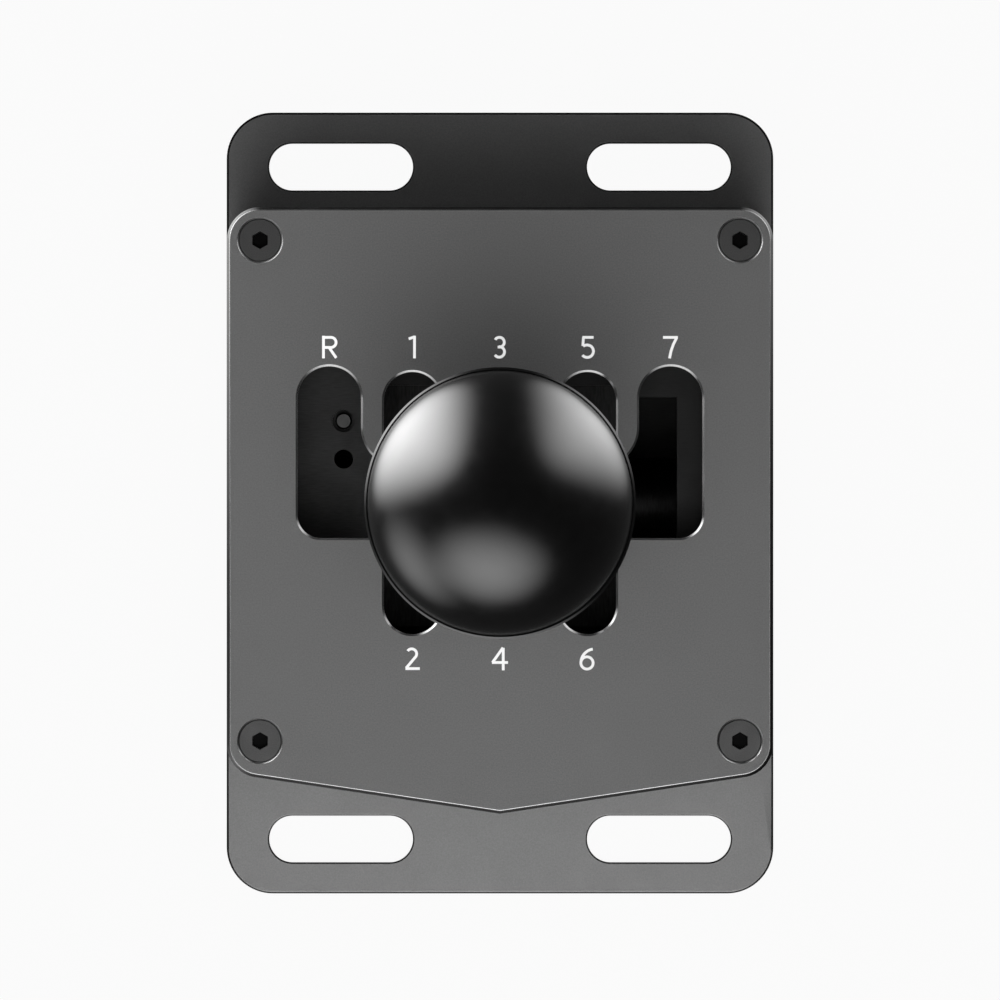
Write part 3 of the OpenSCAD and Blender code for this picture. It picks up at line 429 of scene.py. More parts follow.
def circle(x, y, radius, grows=1):
    """An outline function: a circle that an inset makes smaller (grows = -1) or larger (grows = 1)."""
    return lambda inset: ((x + radius + grows * inset, y), [(x, y, 360)])


def islands(node):
    """Lowest and highest corners of each separate body in a solid, in millimetres."""
    bm = bmesh.new()
    bm.from_mesh(nodes[node].data)
    bmesh.ops.remove_doubles(bm, verts=bm.verts, dist=MERGE / 2 * MM)
    known, boxes = set(), []
    for first in bm.verts:
        body, to_visit = [], [first]
        while to_visit:
            vert = to_visit.pop()
            if vert not in known:
                known.add(vert)
                body.append(vert)
                to_visit += [edge.other_vert(vert) for edge in vert.link_edges]
        if body:
            low = Vector(min(v.co[i] for v in body) for i in range(3)) / MM
            high = Vector(max(v.co[i] for v in body) for i in range(3)) / MM
            boxes.append((low, high))
    bm.free()
    return boxes


def middles(node):
    """Where each separate body of a solid stands in plan, in millimetres."""
    return [((low.x + high.x) / 2, (low.y + high.y) / 2) for low, high in islands(node)]


posts = middles("cover_screws")
print("screw posts at", [(round(x, 2), round(y, 2)) for x, y in posts])

# %% [markdown]
# ## Base plate
#
# A 5 mm plate with rounded corners and four long slots for the bolts that hold it to a rig. Its sheared and
# milled edges were broken by hand before blasting, so they are only softened. The screws that hold the
# housing, the bearing blocks, the bracket and the pillars sink into it from below, and three springs stand
# in shallow pockets.
#
# Seen through the gate, the plate's top is black in the photograph and not grey, because it lies in the
# housing's shade. That shade is painted: the part inside the housing is cut off from the flanges by four
# planes and gets the near-black finish of the fittings.

# %% Draw the base plate
BASE_W, BASE_D, BASE_T, BASE_CORNER = 98, 140, BASE_TOP, 8.3
SLOT_W, SLOT_L, SLOT_X, SLOT_Y = 8.4, 25.8, 28.5, 60.25
PLATE_ROUND, SLOT_ROUND = 0.4, 0.3
FREE_R, SINK_DEPTH = 2.25, 1.7
POCKET_DEPTH, CENTRING_POCKET_R, REVERSE_POCKET_R = 1, 3.95, 4.3
# Where the plate's top gets painted shade, inside the housing
SHADE_HALF_W, SHADE_FRONT, SHADE_REAR = 46.5, -47.5, 49.5


def plate_outline(inset):
    """The base plate's outline, drawn in by an inset."""
    x, y = BASE_W / 2 - BASE_CORNER, BASE_D / 2 - BASE_CORNER
    r = BASE_CORNER - inset
    return (x + r, -y), [(x + r, y), (x, y, 90), (-x, y + r), (-x, y, 90), (-x - r, -y), (-x, -y, 90),
                         (x, -y - r), (x, -y, 90)]


def slot_outline(x, y):
    """A round-ended slot along X about a middle."""
    def outline(inset):
        r, reach = SLOT_W / 2 + inset, (SLOT_L - SLOT_W) / 2
        return (x + reach, y - r), [(x + reach, y, 180), (x - reach, y + r), (x - reach, y, 180),
                                    (x + reach, y - r)]
    return outline


def sunk_from_below(x, y):
    """A screw hole with its countersink in the underside."""
    return circle(x, y, FREE_R), [(SINK_DEPTH, 0), (0, SINK_DEPTH), (0, BASE_T)]


plate_walls = [(plate_outline, soft_steps(0, BASE_T, PLATE_ROUND))]
plate_walls += [(slot_outline(sx * SLOT_X, sy * SLOT_Y), soft_steps(0, BASE_T, SLOT_ROUND))
                for sx in (-1, 1) for sy in (-1, 1)]
held_from_below = (middles("block_screws") + middles("frame_pillars") + middles("base_screws")
                   + middles("bracket_screws"))
plate_walls += [sunk_from_below(x, y) for x, y in held_from_below]
for spring, radius in (("left_centring_spring", CENTRING_POCKET_R),
                       ("right_centring_spring", CENTRING_POCKET_R), ("reverse_spring", REVERSE_POCKET_R)):
    x, y = middles(spring)[0]
    plate_walls.append((circle(x, y, radius), [(0, BASE_T - POCKET_DEPTH), (0, BASE_T)]))
plate_mesh = solid(plate_walls)
for axis, value in ((0, -SHADE_HALF_W), (0, SHADE_HALF_W), (1, SHADE_FRONT), (1, SHADE_REAR)):
    tops = [f for f in plate_mesh.faces
            if abs(f.normal.z) > LEVEL and f.calc_center_median().z > (BASE_T - SAME) * MM]
    slice_faces(plate_mesh, tops, axis, value)
cut_edges(plate_mesh, BASE_T - PLATE_ROUND)
# The top inside the housing gets the near-black finish: painted shade
for face in plate_mesh.faces:
    x, y, z = face.calc_center_median() / MM
    if abs(x) < SHADE_HALF_W and SHADE_FRONT < y < SHADE_REAR and z > BASE_T - SAME:
        face.material_index = 2
# The plate's grey is painted lighter: painted light on its flanges
base_plate = finish_piece(plate_mesh, "slotted_base_plate", plate_painted_light_finish, "chassis",
                          ["base_plate"])
# The plate's edges get the darker edge paint: painted shade
base_plate.data.materials.append(outer_edge_painted_shade)
# Third slot: the painted shade on the top inside the housing
base_plate.data.materials.append(black_anodised_and_painted_shade)

# %% [markdown]
# ## Housing
#
# The housing is one milled frame, open above and below, with a screw post in each corner and a front wall
# that comes to a shallow point. Its outline is shared with the cover, so it is a function of how far it is
# drawn in.

# %% The body's outline
POST_X, REAR_POST_Y, FRONT_POST_Y = 42.45, 46.5, -42.1
FRONT_TIP, FRONT_ANGLE, BODY_CORNER = 55, math.radians(8.5), 5.9
FRONT_CORNER_Y = -FRONT_TIP + math.tan(FRONT_ANGLE) * POST_X + BODY_CORNER / math.cos(FRONT_ANGLE)


def body_outline(inset):
    """The outline with its pointed front, drawn in by an inset."""
    r = BODY_CORNER - inset
    side, corner = POST_X + r, 90 - math.degrees(FRONT_ANGLE)
    slant = (POST_X + r * math.sin(FRONT_ANGLE), FRONT_CORNER_Y - r * math.cos(FRONT_ANGLE))
    return (side, FRONT_CORNER_Y), [
        (side, REAR_POST_Y), (POST_X, REAR_POST_Y, 90), (-POST_X, REAR_POST_Y + r),
        (-POST_X, REAR_POST_Y, 90), (-side, FRONT_CORNER_Y), (-POST_X, FRONT_CORNER_Y, corner),
        (0, -FRONT_TIP + inset / math.cos(FRONT_ANGLE)), slant, (POST_X, FRONT_CORNER_Y, corner)]


# %% [markdown]
# The room inside follows the walls and bulges in round each screw post. The pen needs to know where a wall
# meets a post's circle. That is Pythagoras: the half chord is the root of the radius squared less the
# distance squared.

# %% The room inside the housing
WALL, POST_R = 3.5, 5.5


def room_outline(inset):
    """The inner outline with its four posts, widened by an inset."""
    r = POST_R - inset
    x, rear = POST_X + BODY_CORNER - WALL + inset, REAR_POST_Y + BODY_CORNER - WALL + inset
    tip = -FRONT_TIP + (WALL - inset) / math.cos(FRONT_ANGLE)
    beside = math.sqrt(r ** 2 - (x - POST_X) ** 2)
    chord = math.degrees(math.atan2(beside, x - POST_X))
    away = (FRONT_POST_Y - tip - math.tan(FRONT_ANGLE) * POST_X) * math.cos(FRONT_ANGLE)
    slant = 270 + math.degrees(FRONT_ANGLE - math.acos(away / r))
    front_x = POST_X + r * math.cos(math.radians(slant))
    front_y = FRONT_POST_Y + r * math.sin(math.radians(slant))
    round_rear, round_front = 2 * chord - 270, chord - slant
    return (x, FRONT_POST_Y + beside), [
        (x, REAR_POST_Y - beside), (POST_X, REAR_POST_Y, round_rear),
        (-POST_X + beside, rear), (-POST_X, REAR_POST_Y, round_rear),
        (-x, FRONT_POST_Y + beside), (-POST_X, FRONT_POST_Y, round_front),
        (0, tip), (front_x, front_y), (POST_X, FRONT_POST_Y, round_front)]


# %% [markdown]
# The socket for the data cable looks out through a window in the rear wall. A milling cutter would leave
# it, so it is cut here in the same way: four planes slice the two skins of the wall, the patch between them
# goes, and a bridge between the two openings is the wall's thickness.

# %% Make the housing
HOUSING_TOP, THREAD_R, COVER_THREAD, BASE_THREAD = 100, 2.1, 12, 14
EDGE, FOOT = 0.45, 0.2
housing_steps = [(FOOT, BASE_T), (0, BASE_T + FOOT), (0, HOUSING_TOP - EDGE), (EDGE, HOUSING_TOP)]
housing_walls = [(body_outline, housing_steps), (room_outline, [(0, BASE_T), (0, HOUSING_TOP)])]
for x, y in posts:
    housing_walls.append((circle(x, y, THREAD_R), [(0, HOUSING_TOP - COVER_THREAD), (0, HOUSING_TOP)]))
    housing_walls.append((circle(x, y, THREAD_R), [(0, BASE_T), (0, BASE_T + BASE_THREAD)]))
housing_mesh = solid(housing_walls)

jack_low, jack_high = [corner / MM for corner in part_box("data_jack")]
AIR = 0.3
window_x = (jack_low.x - AIR, jack_high.x + AIR)
window_z = (jack_low.z - AIR, jack_high.z + AIR)
rear_wall = REAR_POST_Y + BODY_CORNER - WALL - SAME
for axis, value in [(0, v) for v in window_x] + [(2, v) for v in window_z]:
    skins = [f for f in housing_mesh.faces if all(v.co.y > rear_wall * MM for v in f.verts)]
    slice_faces(housing_mesh, skins, axis, value)


def in_window(face):
    """Whether a face is a part of the rear wall's skins that lies in the window."""
    x, y, z = face.calc_center_median() / MM
    return (y > rear_wall and abs(face.normal.y) > LEVEL
            and window_x[0] < x < window_x[1] and window_z[0] < z < window_z[1])


patch = [face for face in housing_mesh.faces if in_window(face)]
bmesh.ops.delete(housing_mesh, geom=patch, context="FACES")
bmesh.ops.bridge_loops(housing_mesh, edges=[e for e in housing_mesh.edges if e.is_boundary])
cut_edges(housing_mesh, HOUSING_TOP - EDGE)
housing = finish_piece(housing_mesh, "milled_housing", housing_finish, "chassis",
                       ["housing"])
# The housing's top edge gets the darker edge paint: painted shade
housing.data.materials.append(outer_edge_painted_shade)
print("window patches cut:", len(patch))

# %% [markdown]
# ## Cover with its gate
#
# The gate has five columns: three long ones, and at each side one that opens only to the rear. A channel
# joins them, and the metal between the outer columns is rounded so that the lever finds its way in. The
# gate is the same left and right, so the pen draws one half and the mirror operator makes the other.

# %% The gate's outline
PITCH, OUTER_X, COLUMN_W, OUTER_W = 15.5, 30.2, 10.1, 11.2
REACH, OUTER_REACH, CHANNEL, CHANNEL_R, GUIDE_R = 23.2, 24.2, 6.2, 4.1, 7.2


def half_gate(inset):
    """The right half of the gate, from the rear end of the middle column to its front end."""
    w, wide, h = COLUMN_W / 2 + inset, OUTER_W / 2 + inset, CHANNEL + inset
    end, outer_end = REACH + inset - w, OUTER_REACH + inset - wide
    corner, guide = CHANNEL_R + inset, GUIDE_R - inset
    guide_x, guide_y = OUTER_X - wide - guide, h + guide
    meets = math.degrees(math.acos((PITCH + w - guide_x) / guide))
    tip_y = guide_y - guide * math.sin(math.radians(meets))
    return (0, REACH + inset), [
        (0, end, -90), (w, h), (PITCH - w, h), (PITCH - w, end), (PITCH, end, -180), (PITCH + w, tip_y),
        (guide_x, guide_y, meets), (OUTER_X - wide, outer_end), (OUTER_X, outer_end, -180),
        (OUTER_X + wide, corner - h), (OUTER_X + wide - corner, corner - h, -90),
        (PITCH + w, -h), (PITCH + w, -end), (PITCH, -end, -180), (PITCH - w, -h), (w, -h), (w, -end),
        (0, -end, -90)]


# %% [markdown]
# The real cover is cut from sheet, and then its gate gets a small chamfer and its screw holes are
# countersunk. The gate's chamfer is flatter than 45 degrees, and it is the light line round the gate in the
# photograph. That line is the front lamp's highlight, made brighter by the edge's lighter paint: partly a
# painted highlight.

# %% Make the cover
COVER_T, COVER_INSET, COVER_ROUND = 4, 0.45, 0.2
COVER_TOP = HOUSING_TOP + COVER_T
BEVEL_W, BEVEL_H = 0.36, 0.2
RIM = 0.12


def cover_outline(inset):
    """The cover lies a little inside the housing's outline."""
    return body_outline(COVER_INSET + inset)


cover_walls = [(cover_outline, soft_steps(HOUSING_TOP, COVER_TOP, COVER_ROUND)),
               (half_gate, [(0, HOUSING_TOP), (0, COVER_TOP - BEVEL_H), (BEVEL_W, COVER_TOP)])]
for x, y in posts:
    cover_walls.append((circle(x, y, FREE_R), [(0, HOUSING_TOP), (0, COVER_TOP - SINK_DEPTH - RIM),
                                               (SINK_DEPTH, COVER_TOP - RIM), (SINK_DEPTH + RIM, COVER_TOP)]))
cover_mesh = solid(cover_walls)
cut_edges(cover_mesh, COVER_TOP - BEVEL_H)
cover = finish_piece(cover_mesh, "gate_cover", cover_finish, "chassis", ["top_cover"])
# The cover's edges get the lighter edge paint: partly a painted highlight
cover.data.materials.append(cover_edge_painted_highlight)

# %% [markdown]
# ## Locating pin
#
# A dowel that shows through the gate's left column. Its ends are chamfered so that it starts in its hole,
# and the chamfer is the wide dark ring round its small grey face in the photograph. The chamfers are
# painted near black: painted shade.

# %% Make the locating pin
pin_low, pin_high = [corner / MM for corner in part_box("locating_pin")]
pin_x, pin_y = middles("locating_pin")[0]
pin_r = (pin_high.x - pin_low.x) / 2
PIN_CHAMFER = 0.25
pin_wall = (circle(pin_x, pin_y, pin_r, -1), [(PIN_CHAMFER, pin_low.z), (0, pin_low.z + PIN_CHAMFER),
                                              (0, pin_high.z - PIN_CHAMFER), (PIN_CHAMFER, pin_high.z)])
pin_mesh = solid([pin_wall])
cut_edges(pin_mesh, pin_low.z)
locating_pin = finish_piece(pin_mesh, "chamfered_locating_pin", pin_black, "chassis",
                            ["locating_pin"])
# The chamfers get the near-black finish: painted shade
locating_pin.data.materials.append(socket_painted_shade)

# %% [markdown]
# ## Cover screws
#
# Four countersunk screws with a hexagon socket, blackened. A real one is turned, and its socket is pressed
# in. Here one wall makes the head, its cone and the shank, and a second, blind wall makes the socket with a
# small lead-in. A corner of each socket points to the rear.

# %% Make the four cover screws
HEAD_R, SHANK_R, SCREW_L, SOCKET, SOCKET_DEPTH, RECESS = 3.75, 2, 12, 2.5, 1.6, 0.2
END_BEVEL, HEAD_EDGE, LEAD_IN = 0.4, 0.1, 0.12


def hexagon(x, y, across):
    """A hexagon of a given width across its flats, widened by an inset."""
    def outline(inset):
        r = (across / 2 + inset) / math.cos(math.radians(30))
        turns = [math.radians(60 * k + 30) for k in range(7)]
        spots = [(x + r * math.cos(t), y + r * math.sin(t)) for t in turns]
        return spots[0], spots[1:]
    return outline


screw_walls = []
for x, y in posts:
    top = COVER_TOP - RECESS
    cone = HEAD_R - SHANK_R
    screw_walls.append((circle(x, y, HEAD_R, -1), [
        (cone + END_BEVEL, top - SCREW_L), (cone, top - SCREW_L + END_BEVEL), (cone, top - cone - HEAD_EDGE),
        (0, top - HEAD_EDGE), (HEAD_EDGE, top)]))
    screw_walls.append((hexagon(x, y, SOCKET), [(0, top - SOCKET_DEPTH), (0, top - LEAD_IN), (LEAD_IN, top)]))
cover_screws = finish_piece(solid(screw_walls), "cover_screws_with_sockets", screw_black, "chassis",
                            ["cover_screws"])
# The sockets get the near-black finish: painted shade
cover_screws.data.materials.append(socket_painted_shade)
for face in cover_screws.data.polygons:
    from_axis = min(math.hypot(face.center.x / MM - x, face.center.y / MM - y) for x, y in posts)
    below_top = top - face.center.z / MM
    in_socket = from_axis < SOCKET / math.sqrt(3) and SAME < below_top < SOCKET_DEPTH + SAME
    face.material_index = int(in_socket)
print("socket faces:", sum(face.material_index for face in cover_screws.data.polygons))

# %% [markdown]
# ## Knob
#
# The knob is a ball in two shells. The lower cup carries the thread and has a thin rim, and the dome sits
# inside that rim with a hairline seam. Both are bodies of revolution, so each is half a section, drawn with
# the same pen and turned once about the lever. The dome's edge and the rim have a small radius, which draws
# the fine light ring in the photograph.

# %% Turn a section into a body
def lathe(start, moves, turns=144, centre=(0, 0, 0)):
    """Spins a closed half section of (radius, height) about the Z axis."""
    bm = bmesh.new()
    draw(bm, start, moves)
    bmesh.ops.rotate(bm, verts=bm.verts, cent=(0, 0, 0), matrix=Matrix.Rotation(math.radians(90), 3, "X"))
    bmesh.ops.spin(bm, geom=list(bm.verts) + list(bm.edges), cent=(0, 0, 0), axis=(0, 0, 1),
                   angle=math.tau, steps=turns, use_merge=True, use_duplicate=False)
    bmesh.ops.translate(bm, verts=bm.verts, vec=mm(*centre))
    return bm


# %% [markdown]
# The sections are drawn about the knob's middle, which is where the seam lies. The dome is a quarter ring
# with a small step at its lip. The cup runs from the bore up its flat, its neck and its belly to the rim,
# and back down past the threaded insert.

# %% Make the knob
KNOB_Z, KNOB_R, RIM_W, RIM_H, SEAM = 186, 23.8, 0.45, 1.2, 0.1
KNOB_FLAT, NECK_R, NECK_H, NECK_ROUND, SHELL = 21, 9, 3, 0.5, 2.4
INSERT_R, INSERT_INSET, LEVER_R, BORE_AIR = 6.5, 1, 4, 0.05
RIM_BEVEL, RIM_SLOPE, DOME_LIP = 0.34, 0.26, 0.25
dome_r = KNOB_R - RIM_W - SEAM
lip_turn = math.degrees(DOME_LIP / dome_r)
dome = finish_piece(
    lathe((0, dome_r), [(0, 0, lip_turn - 90), (dome_r - DOME_LIP, 0), (dome_r - SHELL, 0), (0, 0, 90)],
          centre=(0, 0, KNOB_Z)),
    "knob_dome_polished", knob_gloss, "lever", ["knob_dome"])
flat_r = math.sqrt(KNOB_R ** 2 - KNOB_FLAT ** 2)
rim_foot = RIM_H - RIM_SLOPE
belly = math.degrees(math.asin(KNOB_FLAT / KNOB_R)) + math.degrees(math.asin(rim_foot / KNOB_R))
rim_r = math.sqrt(KNOB_R ** 2 - rim_foot ** 2)
bore_r, neck_r, neck_low = LEVER_R + BORE_AIR, NECK_R - NECK_ROUND, -KNOB_FLAT - NECK_H
cup = finish_piece(
    lathe((bore_r, neck_low), [
        (neck_r, neck_low), (neck_r, neck_low + NECK_ROUND, 90), (NECK_R, -KNOB_FLAT), (flat_r, -KNOB_FLAT),
        (0, 0, belly), (rim_r - RIM_BEVEL, RIM_H), (dome_r + SEAM, RIM_H), (dome_r + SEAM, 0), (INSERT_R, 0),
        (INSERT_R, neck_low + INSERT_INSET), (bore_r, neck_low + INSERT_INSET), (bore_r, neck_low)],
        centre=(0, 0, KNOB_Z)),
    "knob_cup_with_rim", knob_gloss, "lever", ["knob_cup"])

# %% [markdown]
# ## Lever and lock nut
#
# The lever is a turned and blackened rod with an M8 thread at its top and a turned relief below the thread.
# The thread is a real helix: a small triangular ridge, sunk a little into the core, that is spun while it
# climbs 1.25 mm a turn.

# %% Make the lever
LEVER_LOW, LEVER_HIGH, THREAD_LOW, THREAD_PITCH, THREAD_H = 44, 184, 146, 1.25, 0.55
FOOT_BEVEL, TIP_BEVEL, RELIEF, RELIEF_DEPTH = 0.8, 0.5, 1, 0.1
RIDGE_SIZE, RIDGE_OUT = 1.15, 0.3  # shares of the thread's height
RIDGE_START, RIDGE_END, RIDGE_STEPS = 1.2, 3, 36
core, groove = LEVER_R - THREAD_H, LEVER_R - THREAD_H - RELIEF_DEPTH
lever_mesh = lathe((0, LEVER_LOW), [
    (LEVER_R - FOOT_BEVEL, LEVER_LOW), (LEVER_R, LEVER_LOW + FOOT_BEVEL), (LEVER_R, THREAD_LOW - 2 * RELIEF),
    (groove, THREAD_LOW - RELIEF), (groove, THREAD_LOW), (core, THREAD_LOW + 2 * RELIEF_DEPTH),
    (core, LEVER_HIGH - TIP_BEVEL), (core - TIP_BEVEL, LEVER_HIGH), (0, LEVER_HIGH), (0, LEVER_LOW)],
    turns=72)
ridge_place = (Matrix.Translation(mm(core + THREAD_H * RIDGE_OUT, 0, THREAD_LOW + RIDGE_START))
               @ Matrix.Rotation(math.radians(90), 4, "X") @ Matrix.Rotation(math.radians(-90), 4, "Z"))
ridge = bmesh.ops.create_circle(lever_mesh, cap_ends=True, segments=3, radius=THREAD_H * RIDGE_SIZE * MM,
                                matrix=ridge_place)
ridge_parts = once(p for v in ridge["verts"] for p in [v, *v.link_edges, *v.link_faces])
thread_turns = math.floor((LEVER_HIGH - THREAD_LOW - RIDGE_END) / THREAD_PITCH)
bmesh.ops.spin(lever_mesh, geom=ridge_parts, cent=(0, 0, 0), axis=(0, 0, 1),
               angle=math.tau * thread_turns, steps=thread_turns * RIDGE_STEPS,
               dvec=mm(0, 0, THREAD_PITCH / RIDGE_STEPS), use_duplicate=False)
bmesh.ops.holes_fill(lever_mesh, edges=[e for e in lever_mesh.edges if e.is_boundary], sides=0)
finish_piece(lever_mesh, "threaded_lever", lever_black, "lever", ["lever_shaft"])

# %% [markdown]
# The nut below the knob is made as a real one is, from a turned ring with all its rims chamfered, of which
# six planes cut the flats. That gives the curved line where each flat meets the chamfer.

# %% Make the lock nut
NUT_AF, NUT_H, NUT_TOP, NUT_BEVEL, BORE_BEVEL = 13, 5, 162, 0.55, 0.3
nut_r, face_r = NUT_AF / 2 / math.cos(math.radians(30)), NUT_AF / 2 - BORE_BEVEL
nut_mesh = lathe((LEVER_R, BORE_BEVEL), [
    (LEVER_R + BORE_BEVEL, 0), (face_r, 0), (nut_r, NUT_BEVEL), (nut_r, NUT_H - NUT_BEVEL), (face_r, NUT_H),
    (LEVER_R + BORE_BEVEL, NUT_H), (LEVER_R, NUT_H - BORE_BEVEL), (LEVER_R, BORE_BEVEL)],
    turns=96, centre=(0, 0, NUT_TOP - NUT_H))
for k in range(6):
    out = Vector((math.cos(math.radians(60 * k + 30)), math.sin(math.radians(60 * k + 30)), 0))
    everything = list(nut_mesh.verts) + list(nut_mesh.edges) + list(nut_mesh.faces)
    bmesh.ops.bisect_plane(nut_mesh, geom=everything, plane_co=out * NUT_AF / 2 * MM, plane_no=out,
                           clear_outer=True)
    bmesh.ops.holes_fill(nut_mesh, edges=[e for e in nut_mesh.edges if e.is_boundary], sides=0)
finish_piece(nut_mesh, "chamfered_lock_nut", lever_black, "lever", ["lock_nut"])

# %% [markdown]
# ## Springs
#
# Five coil springs of drawn wire. A compression spring ends in a turn that lies flat on its seat, so each
# coil is spun in three parts: a closed turn, the open turns and a closed turn. Where a spring stands and
# how long it is come from its solid, and four of them ride on a body. The left centring spring is pressed
# by two joints, because the gimbal tips its pad and the rocker tips the gimbal. It is wound in two halves
# that meet half way up.

# %% Wind the springs
CLOSED_PITCH, TURN_STEPS = 1.05, 32  # in wires, and in steps of the spin


def closed_turn(wire):
    """How far a closed turn rises."""
    return wire * CLOSED_PITCH


def wind(name, node, wire, bottom, runs, body=""):
    """A length of coil in the space of a spring's solid, wound upwards in runs of turns and rise."""
    low, high = [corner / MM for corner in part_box(node)]
    x, y, r = (low.x + high.x) / 2, (low.y + high.y) / 2, (high.x - low.x - wire) / 2
    bm = bmesh.new()
    seat = Matrix.Translation(mm(x + r, y, bottom + wire / 2)) @ Matrix.Rotation(math.radians(90), 4, "X")
    bmesh.ops.create_circle(bm, cap_ends=True, segments=12, radius=wire / 2 * MM, matrix=seat)
    geometry = list(bm.verts) + list(bm.edges) + list(bm.faces)
    for turns, rise in runs:
        steps = round(TURN_STEPS * turns)
        made = bmesh.ops.spin(bm, geom=geometry, cent=mm(x, y, 0), axis=(0, 0, 1), angle=math.tau * turns,
                              steps=steps, dvec=mm(0, 0, rise / steps), use_duplicate=False)
        geometry = made["geom_last"]
    bmesh.ops.holes_fill(bm, edges=[e for e in bm.edges if e.is_boundary], sides=0)
    return finish_piece(bm, name, spring_wire, body, [node], sharp=40)


def coil(node, wire, turns, body):
    """A whole coil spring, wound over the height of its solid, that rides on a body."""
    low, high = [corner.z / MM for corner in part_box(node)]
    closed = (1, closed_turn(wire))
    open_turns = (turns - 2, high - low - wire - 2 * closed_turn(wire))
    piece = wind(node + "_coil", node, wire, low, (closed, open_turns, closed), body)
    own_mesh(piece)


CENTRING_WIRE, CENTRING_TURNS = 0.9, 6
spring_low, spring_high = [corner.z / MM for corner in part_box("left_centring_spring")]
half_rise = (spring_high - spring_low - CENTRING_WIRE) / 2
middle = spring_low + half_rise
end_run = (1, closed_turn(CENTRING_WIRE))
open_run = (CENTRING_TURNS / 2 - 1, half_rise - closed_turn(CENTRING_WIRE))
lower_half = wind("left_centring_spring_lower_coil", "left_centring_spring", CENTRING_WIRE, spring_low,
                  (end_run, open_run))
upper_half = wind("left_centring_spring_upper_coil", "left_centring_spring", CENTRING_WIRE, middle,
                  (open_run, end_run))
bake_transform(lower_half)
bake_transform(upper_half)
coil("right_centring_spring", CENTRING_WIRE, CENTRING_TURNS, "chassis")
coil("reverse_spring", 1.2, 6, "chassis")
coil("detent_spring", 0.6, 4, "gimbal")
coil("return_spring", 1.2, 4, "carrier")

# %% [markdown]
# ## Gear numbers
#
# The gears are printed beside the columns in white ink, in a plain upright hand. Each stroke is a ribbon as
# wide as the line. It starts as one edge across the stroke, which goes ahead for straight parts and is spun
# about the middle of a bend, as a pen plotter draws. Then the ribbons get the thickness of the ink. It
# stands a hair above the cover, and where two strokes cross, the second lies a little higher, so that no
# two faces share a plane.
#
# A stroke is written as the place of its start beside the column's middle and above the line, the way it
# heads in degrees, and its moves. A move is a length, or the radius of a bend and how many degrees it turns
# to the left.

# %% Draw the numbers
STROKE, INK_GAP, INK_LAYER, INK_T, BEND_STEP = 0.48, 0.01, 0.004, 0.009, 7
REAR_LINE, FRONT_LINE = 25.61, -29.59
GLYPHS = {
    "R": [(-1.03, 0, 90, [3.98]), (-1.03, 3.7, 0, [1.33, (0.89, -180), 1.33]), (0.04, 1.8, -55.5, [2.1])],
    "1": [(0.37, 0, 90, [3.98]), (0.37, 3.8, 200.1, [1.08])],
    "2": [(-0.83, 3.42, 55, [(0.87, -185), 2.58]), (-1.22, 0.3, 0, [2.53])],
    "3": [(-0.85, 3.28, 60, [(0.86, -240), 0.3]), (-0.14, 2.06, 0, [(0.93, -235)])],
    "4": [(0.53, 4, -125.4, [3.21]), (-1.42, 1.38, 0, [2.84]), (0.57, 0, 90, [3.98])],
    "5": [(-0.9, 3.7, 0, [1.94]), (-0.73, 3.7, -94.5, [1.52]), (-0.78, 2.1, 40, [(1.1, -270)])],
    "6": [(0.9, 3.75, 189.1, [(2.48, 80.9)]), (-1.19, 1.3, 270, [(1.08, 360)])],
    "7": [(-1.36, 3.7, 0, [2.62]), (1.03, 3.6, -120, [(10, 22)])],
}
LINES = [(REAR_LINE, ["R", "1", "3", "5", "7"], [-OUTER_X, -PITCH, 0, PITCH, OUTER_X]),
         (FRONT_LINE, ["2", "4", "6"], [-PITCH, 0, PITCH])]


def ahead(way, length):
    """A step of a length in millimetres, at an angle from the X axis."""
    return Vector((math.cos(way), math.sin(way), 0)) * length * MM


def ink_stroke(bm, spot, heading, moves):
    """A ribbon that starts at a spot, heads in a direction in degrees, and follows its moves."""
    way = math.radians(heading)
    across = ahead(way + math.pi / 2, STROKE / 2)
    sides = [bmesh.ops.create_vert(bm, co=spot + side * across)["vert"][0] for side in (-1, 1)]
    front = [bm.edges.new(sides)]
    for move in moves:
        if isinstance(move, tuple):
            radius, degrees = move
            turn, reach = math.radians(degrees), math.copysign(radius, degrees)
            middle = spot + ahead(way + math.pi / 2, reach)
            made = bmesh.ops.spin(bm, geom=front + sides, cent=middle, axis=(0, 0, 1), angle=turn,
                                  steps=max(3, round(abs(degrees) / BEND_STEP)),
                                  use_duplicate=False)["geom_last"]
            way += turn
            spot = middle - ahead(way + math.pi / 2, reach)
        else:
            made = bmesh.ops.extrude_edge_only(bm, edges=front)["geom"]
            moved = [g for g in made if isinstance(g, bmesh.types.BMVert)]
            bmesh.ops.translate(bm, verts=moved, vec=ahead(way, move))
            spot = spot + ahead(way, move)
        sides = [g for g in made if isinstance(g, bmesh.types.BMVert)]
        front = [g for g in made if isinstance(g, bmesh.types.BMEdge) and set(g.verts) == set(sides)]


numbers = bmesh.new()
for line, glyphs, columns in LINES:
    for glyph, column in zip(glyphs, columns):
        for layer, (x, y, heading, moves) in enumerate(GLYPHS[glyph]):
            height = COVER_TOP + INK_GAP + layer * INK_LAYER
            ink_stroke(numbers, mm(column + x, line + y, height), heading, moves)
bmesh.ops.recalc_face_normals(numbers, faces=numbers.faces)
bmesh.ops.solidify(numbers, geom=list(numbers.faces), thickness=INK_T * MM)
finish_piece(numbers, "printed_gear_numbers", ink, "chassis")

